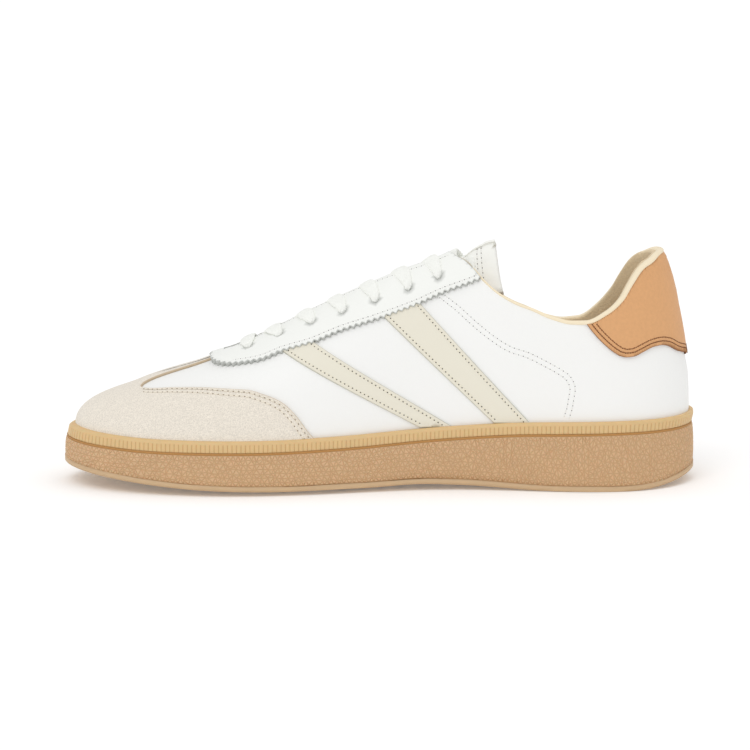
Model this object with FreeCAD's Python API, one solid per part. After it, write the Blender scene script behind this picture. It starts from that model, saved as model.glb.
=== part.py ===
"""Right court shoe with a T-toe, a gum rubber cup sole and seven rows of lacing.

Millimetres. -X points to the toe, +X to the heel, -Y to the medial side, +Z up. The origin is on the
ground, under the middle of the shoe's box. The upper is a stack of curved sheets, each a slice of one
last shape: every sheet lies between two offsets of that shape, and is cut by an outline seen from the side.
"""
import FreeCAD, Part

import math
import os

from FreeCAD import Vector

doc = FreeCAD.newDocument("court_shoe")

# ---------------------------------------------------------------- driving dimensions
sheet = doc.addObject("Spreadsheet::Sheet", "dims")
DIMENSIONS = [
    ("outsole_thick", 3.0), ("tread_depth", 1.2), ("tread_width", 2.4), ("tread_pitch", 9.0), ("tread_margin", 3.0),
    ("foxing_tall", 6.2), ("foxing_lip", 2.0), ("groove_tall", 0.9), ("wall_inset", 0.8), ("cup_clear", 0.15),
    ("board_drop", 9.5), ("board_thick", 1.8), ("footbed_thick", 4.0), ("footbed_clear", 1.2),
    ("overlay_thick", 1.25), ("leather_thick", 1.4), ("stiffener_thick", 1.9), ("lining_thick", 1.0),
    ("layer_gap", 0.05), ("tongue_gap", 4.1), ("tongue_face_thick", 1.3), ("tongue_foam_thick", 3.1),
    ("tongue_lining_thick", 0.8), ("binding_tall", 3.2), ("binding_out", 1.2), ("binding_in", 0.5),
    ("fold_deep", 1.8), ("split_y", -7.0), ("lace_dia", 2.4), ("lace_bend", 2.2), ("lace_hole_dia", 3.4),
    ("aglet_dia", 2.4), ("aglet_long", 22.0),
]
for row, (alias, value) in enumerate(DIMENSIONS, start=1):
    sheet.set(f"A{row}", alias)
    sheet.set(f"B{row}", str(value))
    sheet.setAlias(f"B{row}", alias)
doc.recompute()


def dim(alias):
    """The sheet's value for one driving dimension."""
    return float(sheet.get(alias))


# ---------------------------------------------------------------- the last shape
# Plan outline of the upper where it meets the sole, from the toe round the medial side.
LAST_OUTLINE = [(-141.3, -11), (-134, -26), (-115, -38.5), (-72, -47.3), (-30, -43), (22, -32.5), (65, -34),
                (108, -37), (134.5, -26), (145.2, -4), (135, 19), (108, 31), (60, 34.5), (5, 41),
                (-38, 47.3), (-80, 43), (-112, 30.5), (-133, 11)]
# Heights and places along X.
SOLE_TOP = [(-150, 28.0), (-130, 26.0), (-100, 24.6), (-60, 24.6), (-20, 26.4), (30, 30.2), (70, 32.2),
            (110, 33.0), (150, 33.6)]
CREST_HEIGHT = [(-150, 47.0), (-130, 45.8), (-118, 46.4), (-108, 48.6), (-97, 51.4), (-85, 54.8), (-60, 64.8),
                (-29, 80.3), (5, 95.3), (33, 106.3), (48, 118), (62, 140), (80, 175), (150, 215)]
TONGUE_CREST = CREST_HEIGHT[:10] + [(42, 111.9), (53, 117.4), (64, 119.5), (80, 118), (104, 110), (150, 92)]
CREST_SIDE = [(-150, -11), (-120, -10), (-90, -9), (-60, -8), (0, -7), (60, -4), (150, -4)]
FULLNESS = [(-150, 2.0), (-110, 1.95), (-60, 1.85), (0, 1.8), (50, 2.1), (90, 2.5), (150, 2.6)]
SOLE_OVERHANG = [(-142, 6.7), (-100, 5.2), (-40, 4.6), (60, 4.2), (120, 3.4), (146, 2.6)]
SPINE_FRONT, SPINE_BACK, SPINE_EASE = -97.0, 104.0, 14.0
HEEL_LEAN, HEEL_LEAN_HEIGHT = 7.0, 59.0


def steps(table):
    """A smooth curve through rows of (x, value), with no overshoot between them."""
    xs = [row[0] for row in table]
    ys = [row[1] for row in table]
    slopes = [(ys[i + 1] - ys[i]) / (xs[i + 1] - xs[i]) for i in range(len(xs) - 1)]
    tangents = [slopes[0]]
    for i in range(1, len(xs) - 1):
        before, after = slopes[i - 1], slopes[i]
        if before * after <= 0:
            tangents.append(0.0)
            continue
        w1 = 2 * (xs[i + 1] - xs[i]) + (xs[i] - xs[i - 1])
        w2 = (xs[i + 1] - xs[i]) + 2 * (xs[i] - xs[i - 1])
        tangents.append((w1 + w2) / (w1 / before + w2 / after))
    tangents.append(slopes[-1])

    def value(x):
        if x <= xs[0]:
            return ys[0] + (x - xs[0]) * tangents[0]
        if x >= xs[-1]:
            return ys[-1] + (x - xs[-1]) * tangents[-1]
        i = max(k for k in range(len(xs) - 1) if xs[k] <= x)
        wide = xs[i + 1] - xs[i]
        s = (x - xs[i]) / wide
        return ((1 + 2 * s) * (1 - s) ** 2 * ys[i] + s * (1 - s) ** 2 * wide * tangents[i]
                + s * s * (3 - 2 * s) * ys[i + 1] + s * s * (s - 1) * wide * tangents[i + 1])
    return value


sole_top, crest_side, fullness = steps(SOLE_TOP), steps(CREST_SIDE), steps(FULLNESS)
crest_height, tongue_crest = steps(CREST_HEIGHT), steps(TONGUE_CREST)
sole_overhang = steps(SOLE_OVERHANG)
outline_curve = Part.BSplineCurve()
outline_curve.interpolate(Points=[Vector(x, y, 0) for x, y in LAST_OUTLINE], PeriodicFlag=True)


def ease(t):
    t = min(1.0, max(0.0, t))
    return t * t * (3 - 2 * t)


def ground_clearance(x):
    """Height of the sole's underside: toe spring, a low arch and a bevelled heel."""
    toe = 9.4 * max(0.0, (-28 - x) / 119.5) ** 2
    arch = 1.6 * ease((x + 10) / 40) * ease((80 - x) / 45)
    heel = 6.5 * max(0.0, (x - 112) / 36) ** 2.2
    return toe + arch + heel


def outline_stations():
    """Curve parameters of matching medial and lateral columns, toe to heel, closer where the outline turns."""
    first, last = outline_curve.FirstParameter, outline_curve.LastParameter
    fine = [first + (last - first) * k / 4000 for k in range(4000)]
    places = [outline_curve.value(u) for u in fine]
    toe = min(range(4000), key=lambda k: places[k].x)
    heel = max(range(4000), key=lambda k: places[k].x)
    medial = [(toe + k) % 4000 for k in range((heel - toe) % 4000 + 1)]
    lateral = [(toe - k) % 4000 for k in range((toe - heel) % 4000 + 1)]
    effort = [0.0]
    for a, b in zip(medial, medial[1:]):
        turn = outline_curve.tangent(fine[a])[0].getAngle(outline_curve.tangent(fine[b])[0])
        effort.append(effort[-1] + (places[b] - places[a]).Length / 11.0 + math.degrees(turn) / 9.0)
    count, columns, at = 48, [], 0
    for k in range(count + 1):
        while at < len(medial) - 1 and effort[at] < effort[-1] * k / count:
            at += 1
        columns.append(medial[at])
    partners, at = [], 0
    for k in columns[:-1]:
        while places[lateral[at]].x < places[k].x:
            at += 1
        partners.append(lateral[at])
    partners.append(heel)
    partners[0] = toe
    return [fine[k] for k in columns], [fine[k] for k in partners]


MEDIAL_COLUMNS, LATERAL_COLUMNS = outline_stations()


def last_point(u, phi, crest=crest_height):
    """A point of the last: u along the outline, phi from 0 at the sole to 90 degrees at the crest."""
    p = outline_curve.value(u)
    forward = SPINE_FRONT + SPINE_EASE * math.log1p(math.exp((p.x - SPINE_FRONT) / SPINE_EASE))
    qx = SPINE_BACK - SPINE_EASE * math.log1p(math.exp((SPINE_BACK - forward) / SPINE_EASE))
    qy = crest_side(qx)
    power = 2 / fullness(p.x)
    inward = 1 - max(0.0, math.cos(phi)) ** power
    upward = max(0.0, math.sin(phi)) ** power
    x, y = p.x + (qx - p.x) * inward, p.y + (qy - p.y) * inward
    base = sole_top(p.x)
    z = base + (crest(x) - base) * upward
    lean = ease((p.x + 10) / 80) * HEEL_LEAN * (min(70.0, max(0.0, z - base)) / HEEL_LEAN_HEIGHT) ** 2
    reach = math.hypot(qx - p.x, qy - p.y)
    lean *= max(0.0, math.cos(phi)) ** 0.5 / reach
    x, y = x + (qx - p.x) * lean, y + (qy - p.y) * lean
    return Vector(x, y, z)


def skin_point(u, phi, offset, crest=crest_height):
    """last_point moved out along the surface's normal."""
    du, dphi = 0.01 * (outline_curve.LastParameter - outline_curve.FirstParameter) / 60, 0.004
    low, high = max(0.0, phi - dphi), min(math.pi / 2, phi + dphi)
    first, last = outline_curve.FirstParameter, outline_curve.LastParameter
    before = last_point(first + (u - du - first) % (last - first), phi, crest)
    after = last_point(first + (u + du - first) % (last - first), phi, crest)
    if phi > math.radians(89.9):
        normal = Vector(-(crest(after.x + 1) - crest(after.x)), 0, 1)
    else:
        normal = (after - before).cross(last_point(u, high, crest) - last_point(u, low, crest))
    if phi < 1e-6:
        normal.z = 0
    normal.normalize()
    p = last_point(u, phi, crest) + normal * offset
    if crest is tongue_crest:
        p.z += 4.5 * math.exp(-((p.x - 48) / 10) ** 2) * math.exp(-((p.y + 1) / 9) ** 2)
    return p


ROWS = [math.radians(a) for a in (0, 8, 17, 26, 35, 44, 53, 62, 71, 80, 90)]


def wall_rows(columns, offset, crest):
    """Pole rows of one half of the wall, from below the ground up to the crest."""
    foot = [skin_point(u, 0.0, offset, crest) for u in columns]
    rows = [[Vector(p.x, p.y, z) for p in foot] for z in (-6.0, 4.0, 14.0)]
    rows += [[skin_point(u, phi, offset, crest) for u in columns] for phi in ROWS]
    return rows


def true_poles(line):
    """Poles whose smooth curve runs through the line's points instead of inside them."""
    out = list(line)
    for k in range(2, len(line) - 2):
        out[k] = line[k] - (line[k - 1] - line[k] * 2 + line[k + 1]) * (1 / 6)
    return out


def clamped_surface(rows, row_degree=3):
    """A surface through the rows, smooth along them and of the given degree across them."""
    def knots(count, degree):
        inner = count - degree - 1
        return [float(k) for k in range(inner + 2)], [degree + 1] + [1] * inner + [degree + 1]
    along = min(3, len(rows[0]) - 1)
    rows = [true_poles(row) for row in rows]
    if row_degree == 3:
        upright = [true_poles([row[k] for row in rows]) for k in range(len(rows[0]))]
        rows = [[column[k] for column in upright] for k in range(len(rows))]
    u_knots, u_mults = knots(len(rows), row_degree)
    v_knots, v_mults = knots(len(rows[0]), along)
    surface = Part.BSplineSurface()
    surface.buildFromPolesMultsKnots(rows, u_mults, v_mults, u_knots, v_knots, False, False, row_degree, along)
    return surface


def closed_solid(medial, lateral, row_degree=3):
    """A solid from two half walls that share their end columns; flat caps close whatever is left open."""
    for low, high in zip(medial, lateral):
        for k in (0, -1):
            middle = (low[k] + high[k]) * 0.5
            low[k] = high[k] = middle
    faces = [clamped_surface(rows, row_degree).toShape() for rows in (medial, lateral)]
    for level in {medial[0][0].z, medial[-1][0].z}:
        rim = [e for f in faces for e in f.Edges if all(abs(p.z - level) < 1e-4 for p in e.discretize(9))]
        if rim:
            faces.append(Part.Face(Part.Wire(rim)))
    shell = Part.makeShell(faces)
    shell.sewShape()
    solid = Part.Solid(shell)
    if solid.Volume < 0:
        solid.reverse()
    return solid


def quilt(outer, inner):
    """A solid between two grids of points of the same size, closed by straight side walls."""
    def edge_pairs():
        yield outer[0], inner[0]
        yield outer[-1], inner[-1]
        yield [row[0] for row in outer], [row[0] for row in inner]
        yield [row[-1] for row in outer], [row[-1] for row in inner]
    faces = [clamped_surface(outer).toShape(), clamped_surface(inner).toShape()]
    faces += [clamped_surface([a, b], 1).toShape() for a, b in edge_pairs()]
    shell = Part.makeShell(faces)
    shell.sewShape()
    solid = Part.Solid(shell)
    return solid if solid.Volume > 0 else solid.reversed()


def last_solid(offset, crest=crest_height):
    """The last as a closed solid, grown or shrunk by offset, standing on a flat base below the ground."""
    medial = wall_rows(MEDIAL_COLUMNS, offset, crest)
    lateral = wall_rows(LATERAL_COLUMNS, offset, crest)
    for k in range(len(medial[-1])):
        middle = (medial[-1][k] + lateral[-1][k]) * 0.5
        medial[-1][k] = lateral[-1][k] = middle
    return closed_solid(medial, lateral)


# ---------------------------------------------------------------- finding places on the last
def place(side, x, other, axis="z", crest=crest_height):
    """The (u, phi) of the last's point on one side at x with a given height ("z") or width ("y")."""
    columns = MEDIAL_COLUMNS if side < 0 else LATERAL_COLUMNS

    def miss(u, phi):
        p = last_point(u, phi, crest)
        return p.x - x, getattr(p, axis) - other
    start = min(((u, phi) for u in columns[1:-1] for phi in ROWS[:-1]),
                key=lambda c: sum(m * m for m in miss(*c)))
    u, phi = start
    for _ in range(12):
        fx, fz = miss(u, phi)
        ax, az = miss(u + 1e-3, phi)
        bx, bz = miss(u, phi + 1e-4)
        a, b, c, d = (ax - fx) * 1e3, (bx - fx) * 1e4, (az - fz) * 1e3, (bz - fz) * 1e4
        det = a * d - b * c
        u -= max(-6.0, min(6.0, (d * fx - b * fz) / det))
        phi = max(0.0, min(1.565, phi - max(-0.2, min(0.2, (a * fz - c * fx) / det))))
    return u, phi


def at_width(x, y, offset, crest=crest_height):
    """A point at plan position (x, y), lifted off the last by offset along its normal."""
    side = -1 if y < crest_side(x) else 1
    return skin_point(*place(side, x, y, "y", crest), offset, crest)


# ---------------------------------------------------------------- outlines seen from the side
MEDIAL_TOPLINE = [(30.0, 108.6), (33.1, 106.1), (38.7, 104.2), (42.2, 101.6), (47.6, 95.8), (51.7, 92.2),
                  (56.4, 89.0), (64.3, 85.3), (69.4, 83.7), (79.0, 80.0), (88.1, 78.1), (94.6, 78.2),
                  (104.5, 82.7), (111.1, 88.5), (115.3, 95.2), (120.5, 102.1), (125.7, 105.4), (129.2, 107.6),
                  (138.0, 109.0)]
LATERAL_DIP = [(30, 0.0), (40, -1.0), (60, -4.5), (80, -6.0), (98, -5.5), (112, -2.0), (122, 0.0), (140, 0.0)]
STAY_EDGE = [(-80.1, 59.9), (-77.3, 57.0), (-71.9, 56.3), (-66.7, 56.9), (-55.5, 59.1), (-44.9, 63.2),
             (-31.0, 67.4), (-17.9, 72.6), (-0.4, 78.1), (18.4, 84.7), (28.4, 89.0), (44.9, 95.1), (52.0, 98.0)]
WING_EDGE = [(-110.1, 46.9), (-106.8, 46.1), (-94.8, 46.9), (-78.0, 47.4), (-61.6, 47.3), (-53.3, 45.5),
             (-45.0, 42.1), (-38.4, 36.0), (-33.6, 29.4), (-30.6, 25.7), (-28.0, 20.0)]
STEM_EDGE = [(-113.0, -21.0), (-110.1, -17.7), (-106.0, -14.9), (-98.0, -13.0), (-90.0, -11.6), (-81.0, -10.6),
             (-70.0, -10.0)]
STEM_MIDDLE = -3.6
TAB_EDGE = [(92.6, 80.5), (94.1, 78.2), (97.5, 73.7), (102.5, 68.4), (107.0, 64.6), (110.1, 62.7), (113.2, 62.0),
            (116.3, 62.2), (121.0, 64.1), (125.8, 66.0), (129.4, 66.4), (132.7, 65.7), (137.4, 62.8),
            (141.8, 60.5), (152.0, 60.0)]
FRONT_STRIPE = [(-46.5, 64.4), (-32.5, 69.0), (33.7, 29.0), (18.2, 29.0)]
REAR_STRIPE = [(0.2, 80.4), (17.0, 86.4), (69.5, 31.0), (52.5, 31.0)]
SLOT_EDGE = [(-72.0, -8.9), (-40.0, -8.2), (0.0, -7.0), (33.0, -5.4), (60.0, -4.0)]
SLOT_CENTRE = [(-72.0, -1.2), (0.0, 0.8), (33.0, 2.0), (60.0, 3.0)]
LACE_HOLES = [(-60.8, -16.9), (-46.1, -18.3), (-31.1, -19.2), (-16.8, -19.3), (-1.7, -18.4), (13.4, -16.2),
              (27.3, -13.9)]
WIDE = 90.0

medial_topline, lateral_dip = steps(MEDIAL_TOPLINE), steps(LATERAL_DIP)
slot_edge, slot_centre = steps(SLOT_EDGE), steps(SLOT_CENTRE)


def topline(side):
    """Height of the collar's rim along X, lower on the lateral side."""
    return medial_topline if side < 0 else lambda x: medial_topline(x) + lateral_dip(x)


def spline_edge(points):
    curve = Part.BSplineCurve()
    curve.interpolate(points)
    return curve.toShape()


def prism(smooth, corners, low=-WIDE, high=WIDE, plan=False):
    """A block whose cross-section has one smooth side and straight sides; seen from the side, or in plan."""
    def at(p):
        return Vector(p[0], p[1], low) if plan else Vector(p[0], low, p[1])
    edges = [spline_edge([at(p) for p in smooth])] if len(smooth) > 2 else [Part.makeLine(*map(at, smooth))]
    chain = [smooth[-1]] + list(corners) + [smooth[0]]
    edges += [Part.makeLine(at(a), at(b)) for a, b in zip(chain, chain[1:])]
    face = Part.Face(Part.Wire(edges))
    block = face.extrude(Vector(0, 0, high - low) if plan else Vector(0, high - low, 0))
    return block if block.Volume > 0 else block.reversed()


def profile(height, shift=0.0, count=25):
    """(x, z) rows along the shoe of a height function, moved up by shift."""
    return [(-158 + 316 * k / (count - 1), height(-158 + 316 * k / (count - 1)) + shift) for k in range(count)]


def under(height, shift=0.0):
    """Everything below a height along the shoe."""
    return prism(profile(height, shift), [(158, -40), (-158, -40)])


def largest(shape):
    return max(shape.Solids, key=lambda solid: solid.Volume)


def cut_all(shape, *tools):
    for tool in tools:
        shape = shape.cut(tool)
    return largest(shape)


# ---------------------------------------------------------------- layer offsets from the leather's face
GAP = dim("layer_gap")
OVERLAY_OUT = GAP + dim("overlay_thick")
LEATHER_IN = -dim("leather_thick")
STIFF_OUT = LEATHER_IN - GAP
STIFF_IN = STIFF_OUT - dim("stiffener_thick")
LINING_OUT = STIFF_IN - GAP
LINING_IN = LINING_OUT - dim("lining_thick")
TONGUE_TOP = LINING_IN - dim("tongue_gap")

skins = {}


def skin(offset, crest=crest_height):
    key = (round(offset, 3), crest is tongue_crest)
    if key not in skins:
        skins[key] = last_solid(offset, crest)
    return skins[key]


def shell(outer, inner, crest=crest_height):
    return largest(skin(outer, crest).cut(skin(inner, crest)))


def floor_height(x):
    return ground_clearance(x) + dim("outsole_thick")


def board_top(x):
    return sole_top(x) - dim("board_drop")


RIM_FRONT = 43.0


def rim_blocks(drop):
    """Everything above the collar's rim, lowered by drop behind the lace stay; each side has its own line."""
    blocks = []
    xs = [30.0, 33.1, 36, 39.5, RIM_FRONT, 47, 51.5, 57, 63, 70, 79, 88, 96, 104, 110, 114, 118, 122, 127, 132, 138]
    for side, low, high in ((-1, -WIDE, slot_centre(60)), (1, slot_centre(60), WIDE)):
        height = topline(side)
        front = [(x, height(x)) for x in xs[:5]]
        rear = [(x, height(x) - drop) for x in xs[4:]]
        edges = [spline_edge([Vector(x, low, z) for x, z in front])]
        if drop > 0:
            edges.append(Part.makeLine(Vector(front[-1][0], low, front[-1][1]), Vector(rear[0][0], low, rear[0][1])))
        edges.append(spline_edge([Vector(x, low, z) for x, z in rear]))
        corners = [rear[-1], (158, 112 - drop), (158, 260), (30.0, 260), front[0]]
        edges += [Part.makeLine(Vector(a[0], low, a[1]), Vector(b[0], low, b[1]))
                  for a, b in zip(corners, corners[1:])]
        blocks.append(Part.Face(Part.Wire(edges)).extrude(Vector(0, high - low, 0)))
    return blocks


def slot_block():
    """The throat the laces cross: open at the top, round at the toe end."""
    near = [(x, slot_edge(x)) for x in (-68, -55, -40, -20, 0, 20, 33, 50)]
    far = [(x, 2 * slot_centre(x) - y) for x, y in near][::-1]
    nose = [(-71.0, slot_centre(-70) + 4.6), (-72.2, slot_centre(-70)), (-71.0, slot_centre(-70) - 4.6)]
    outline = [Vector(x, y, 40) for x, y in near]
    other = [Vector(x, y, 40) for x, y in far]
    curve = [spline_edge(outline), Part.makeLine(outline[-1], other[0]), spline_edge(other),
             spline_edge([other[-1]] + [Vector(x, y, 40) for x, y in nose] + [outline[0]])]
    return Part.Face(Part.Wire(curve)).extrude(Vector(0, 0, 220))


def hole_lines():
    """(x, y) of every lace hole, medial then lateral, the lateral ones mirrored over the slot's middle."""
    lateral = [(x, 2 * slot_centre(x) - y) for x, y in LACE_HOLES]
    return LACE_HOLES, lateral


def lace_holes(radius):
    tools = []
    for row in hole_lines():
        for x, y in row:
            low, high = at_width(x, y, -9.0), at_width(x, y, 4.0)
            tools.append(Part.makeCylinder(radius, (high - low).Length, low, high - low))
    return Part.makeCompound(tools)


# ---------------------------------------------------------------- cutting blocks
RIM = rim_blocks(0.0)
UNDER_RIM = rim_blocks(dim("binding_tall") + GAP)
SLOT = slot_block()
UNDER_FOLD = rim_blocks(dim("binding_tall") + dim("fold_deep"))
OPENING = UNDER_RIM + [SLOT]
HOLES = lace_holes(dim("lace_hole_dia") / 2)
SOLE_SEAT = under(sole_top, 0.1)
CUP_FLOOR = under(floor_height, 0.05)


def side_polygon(points, low=-WIDE, high=WIDE):
    face = Part.Face(Part.makePolygon([Vector(x, low, z) for x, z in list(points) + [points[0]]]))
    return face.extrude(Vector(0, high - low, 0))


def region(x0, x1):
    return Part.makeBox(x1 - x0, 2 * WIDE, 320, Vector(x0, -WIDE, -40))


stay_block = prism(STAY_EDGE, [(60, 101), (60, 200), (-80.1, 200)])
stay_room = prism([(x, z - 0.15) for x, z in STAY_EDGE], [(60, 101), (60, 200), (-80.3, 200)])
backer_edge = [(x, z + 3.0) for x, z in STAY_EDGE[1:]]
backer_block = prism(backer_edge, [(60, 104), (60, 200), (-77.3, 200)])
wing_block = prism(WING_EDGE, [(-28, 10), (-158, 10), (-158, 120), (-112, 120), (-110.6, 60)])
stem_far = [(x, 2 * STEM_MIDDLE - y) for x, y in STEM_EDGE][::-1]
stem_block = prism(STEM_EDGE, stem_far, 20, 80, plan=True)
tab_block = prism(TAB_EDGE, [(152, 130), (92.6, 130)])
PUFF_BACK, COLLAR_FRONT = -92.0, 46.0
FOAM_LINE = [(COLLAR_FRONT, 74), (78, 65), (158, 65)]
collar_foam_block = side_polygon(FOAM_LINE + [(158, 200), (COLLAR_FRONT, 200)])
counter_line = [(x, z - GAP) for x, z in FOAM_LINE]
counter_block = side_polygon([(COLLAR_FRONT + GAP, -20), (158, -20)] + counter_line[::-1][:-1]
                             + [(COLLAR_FRONT + GAP, counter_line[0][1])])


# ---------------------------------------------------------------- parts as document objects
nodes = {}


def add(name, shape):
    """A finished piece under its own name."""
    item = doc.addObject("Part::Feature", name)
    item.Label = name
    item.Shape = shape
    nodes[name] = item


overlay = shell(OVERLAY_OUT, GAP)
leather = shell(0.0, LEATHER_IN)
stiff = shell(STIFF_OUT, STIFF_IN)
lining = shell(LINING_OUT, LINING_IN)

toe_cap = overlay.common(wing_block.fuse(stem_block))
add("toe_cap", cut_all(toe_cap, stay_room, SOLE_SEAT))
add("lace_stay", cut_all(overlay.common(stay_block), *OPENING, HOLES))
add("heel_tab", cut_all(overlay.common(tab_block), *UNDER_RIM, SOLE_SEAT))
for name, corners in (("stripe_front", FRONT_STRIPE), ("stripe_rear", REAR_STRIPE)):
    for label, low, high in (("medial", -WIDE, -7), ("lateral", -7, WIDE)):
        band = overlay.common(side_polygon(corners, low, high))
        add(f"{name}_{label}", cut_all(band, stay_room, SOLE_SEAT))
halves = {"medial": Part.makeBox(320, 90, 280, Vector(-160, -90 + dim("split_y") - GAP, -20)),
          "lateral": Part.makeBox(320, 90, 280, Vector(-160, dim("split_y") + GAP, -20))}
for label, half in halves.items():
    add(f"quarter_{label}", cut_all(leather.common(half), CUP_FLOOR, *OPENING, HOLES))


def rim_stations():
    """Columns round the collar, from the medial front corner by the heel to the lateral one."""
    def walk(side, columns):
        fine = []
        for a, b in zip(columns, columns[1:]):
            if abs(b - a) > outline_curve.LastParameter / 2:
                b += math.copysign(outline_curve.LastParameter, a - b)
            fine += [a, (a + b) / 2]
        height, out = topline(side), []
        for u in fine + [columns[-1]]:
            p = last_point(u, rim_angle(u, side, 0.0))
            if p.x > RIM_FRONT + 3.0 and abs(p.z - height(p.x)) < 0.1:
                out.append((u, side))
        start = place(side, RIM_FRONT + 0.15, height(RIM_FRONT + 0.15))[0]
        return [(start, side)] + out
    return walk(-1, MEDIAL_COLUMNS) + walk(1, LATERAL_COLUMNS)[:-1][::-1]


def rim_angle(u, side, drop):
    """How far up its column the rim lies, lowered by drop."""
    height, low, high = topline(side), 0.0, math.pi / 2
    for _ in range(40):
        middle = (low + high) / 2
        p = last_point(u, middle)
        low, high = (middle, high) if p.z < height(p.x) - drop else (low, middle)
    return low


STATIONS = rim_stations()
TALL, OUT, IN = dim("binding_tall") - 0.25, dim("binding_out"), LINING_IN - dim("binding_in")
grids = []
for section in ([(OUT, 1.0), (OUT + 0.3, 0.55), (OUT - 0.5, 0.15), (OUT - 2.2, 0.0)],
                [(IN, 1.0), (IN - 0.2, 0.55), (IN + 0.6, 0.15), (IN + 2.2, 0.0)]):
    grids.append([[skin_point(u, rim_angle(u, side, deep * TALL), offset) for u, side in STATIONS]
                  for offset, deep in section])
add("topline_binding", quilt(*grids))

add("toe_puff", cut_all(stiff.common(region(-200, PUFF_BACK)), CUP_FLOOR))
add("heel_counter", cut_all(stiff.common(counter_block), CUP_FLOOR))
add("collar_foam", cut_all(stiff.common(collar_foam_block), *UNDER_FOLD))
backer = cut_all(stiff.common(backer_block), region(COLLAR_FRONT - GAP, 200), region(-200, PUFF_BACK + GAP))
add("eyelet_backer", cut_all(backer, *OPENING, HOLES))

front_lining = shell(STIFF_OUT, LINING_IN).common(region(-200, COLLAR_FRONT - GAP))
backer_room = prism([(x, z - GAP) for x, z in backer_edge], [(60, 104), (60, 200), (-77.3 - GAP, 200)])
stiff_room = shell(STIFF_OUT + 0.02, LINING_OUT)
front_lining = cut_all(front_lining, stiff_room.common(region(-200, PUFF_BACK + GAP)), stiff_room.common(backer_room))
add("vamp_lining", cut_all(front_lining, CUP_FLOOR, *UNDER_FOLD, SLOT, HOLES))
add("collar_lining", cut_all(lining.common(region(COLLAR_FRONT + GAP, 200)), CUP_FLOOR, *UNDER_FOLD))


# ---------------------------------------------------------------- the sole
def sole_block(levels):
    """The sole's outside through (height of x, outward offset of x) levels, as one closed block."""
    def half(columns):
        rows = []
        for height, outward in levels:
            row = []
            for u in columns:
                p, along = outline_curve.value(u), outline_curve.tangent(u)[0]
                x, y = p.x + along.y * outward(p.x), p.y - along.x * outward(p.x)
                row.append(Vector(x, y, height(x)))
            rows.append(row)
        return rows
    return closed_solid(half(MEDIAL_COLUMNS), half(LATERAL_COLUMNS), 1)


def plus(function, shift):
    return lambda x: function(x) + shift


LOW, HIGH = (lambda x: -12.0), (lambda x: 60.0)
foxing_foot = plus(sole_top, -dim("foxing_tall"))
groove_foot = plus(foxing_foot, -dim("groove_tall"))
bead = sole_block([(LOW, sole_overhang), (HIGH, sole_overhang)])
wall_foot, wall_head = plus(sole_overhang, -dim("wall_inset")), plus(sole_overhang, -1.2)
grooved = plus(sole_overhang, -1.6)
side_wall = sole_block([(LOW, wall_foot), (floor_height, wall_foot), (groove_foot, wall_head),
                        (plus(groove_foot, 0.15), grooved), (HIGH, grooved)])
foxing_top = lambda x: dim("foxing_lip")
foxing_wall = sole_block([(LOW, plus(sole_overhang, -1.3)), (foxing_foot, plus(sole_overhang, -1.3)),
                          (plus(foxing_foot, 4.2), plus(lambda x: 0.6 * sole_overhang(x), 0.6)),
                          (sole_top, foxing_top), (HIGH, foxing_top)])
cup_bore = skin(dim("cup_clear"))

ground = [Part.makeLine(Vector(-28, -WIDE, 0), Vector(-10, -WIDE, 0)),
          spline_edge([Vector(x, -WIDE, ground_clearance(x)) for x in (-10, 0, 10, 20, 30, 40, 50, 60, 70, 80)]),
          Part.makeLine(Vector(80, -WIDE, 0), Vector(112, -WIDE, 0)),
          spline_edge([Vector(x, -WIDE, ground_clearance(x)) for x in (112, 118, 125, 132, 140, 150, 158)]),
          Part.makeLine(Vector(158, -WIDE, ground_clearance(158)), Vector(158, -WIDE, -40)),
          Part.makeLine(Vector(158, -WIDE, -40), Vector(-158, -WIDE, -40)),
          Part.makeLine(Vector(-158, -WIDE, -40), Vector(-158, -WIDE, ground_clearance(-158))),
          spline_edge([Vector(x, -WIDE, ground_clearance(x)) for x in (-158, -145, -130, -110, -90, -70, -48, -28)])]
GROUND = Part.Face(Part.Wire(ground)).extrude(Vector(0, 2 * WIDE, 0))
tread = []
x = -136.0
while x < 140:
    lift = ground_clearance(x) + dim("tread_depth")
    if not (-30 < x < -22 or 78 < x < 86):
        tread.append(Part.makeBox(dim("tread_width"), 160, lift + 10, Vector(x, -80, -10)))
    x += dim("tread_pitch")
tread = skin(-dim("tread_margin")).common(Part.makeCompound(tread))
outsole = cut_all(bead.common(under(floor_height)), GROUND)
add("outsole", largest(outsole.cut(tread)))
add("cup_sidewall", cut_all(side_wall.common(under(plus(foxing_foot, -GAP))), under(floor_height, GAP), cup_bore))
add("foxing_strip", cut_all(foxing_wall.common(under(sole_top)), under(foxing_foot), cup_bore))

board_foot = plus(board_top, -dim("board_thick"))
inside = skin(LINING_IN - GAP)
add("midsole_filler", cut_all(inside.common(under(plus(board_foot, -GAP))), under(floor_height, GAP)))
add("insole_board", cut_all(inside.common(under(board_top)), under(board_foot)))
footbed_room = skin(LINING_IN - dim("footbed_clear"))
footbed_top = plus(board_top, GAP + dim("footbed_thick"))
add("footbed", cut_all(footbed_room.common(under(footbed_top)), under(board_top, GAP)))

# ---------------------------------------------------------------- the tongue
TONGUE_SIDE = steps([(-72, 15.0), (-50, 19.0), (-20, 21.5), (10, 22.5), (60, 22.5)])
TONGUE_FRONT, TONGUE_BACK, TONGUE_SWEEP = -72.0, 50.6, 5.5
TONGUE_ROWS, TONGUE_COLUMNS = 18, 13


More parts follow.
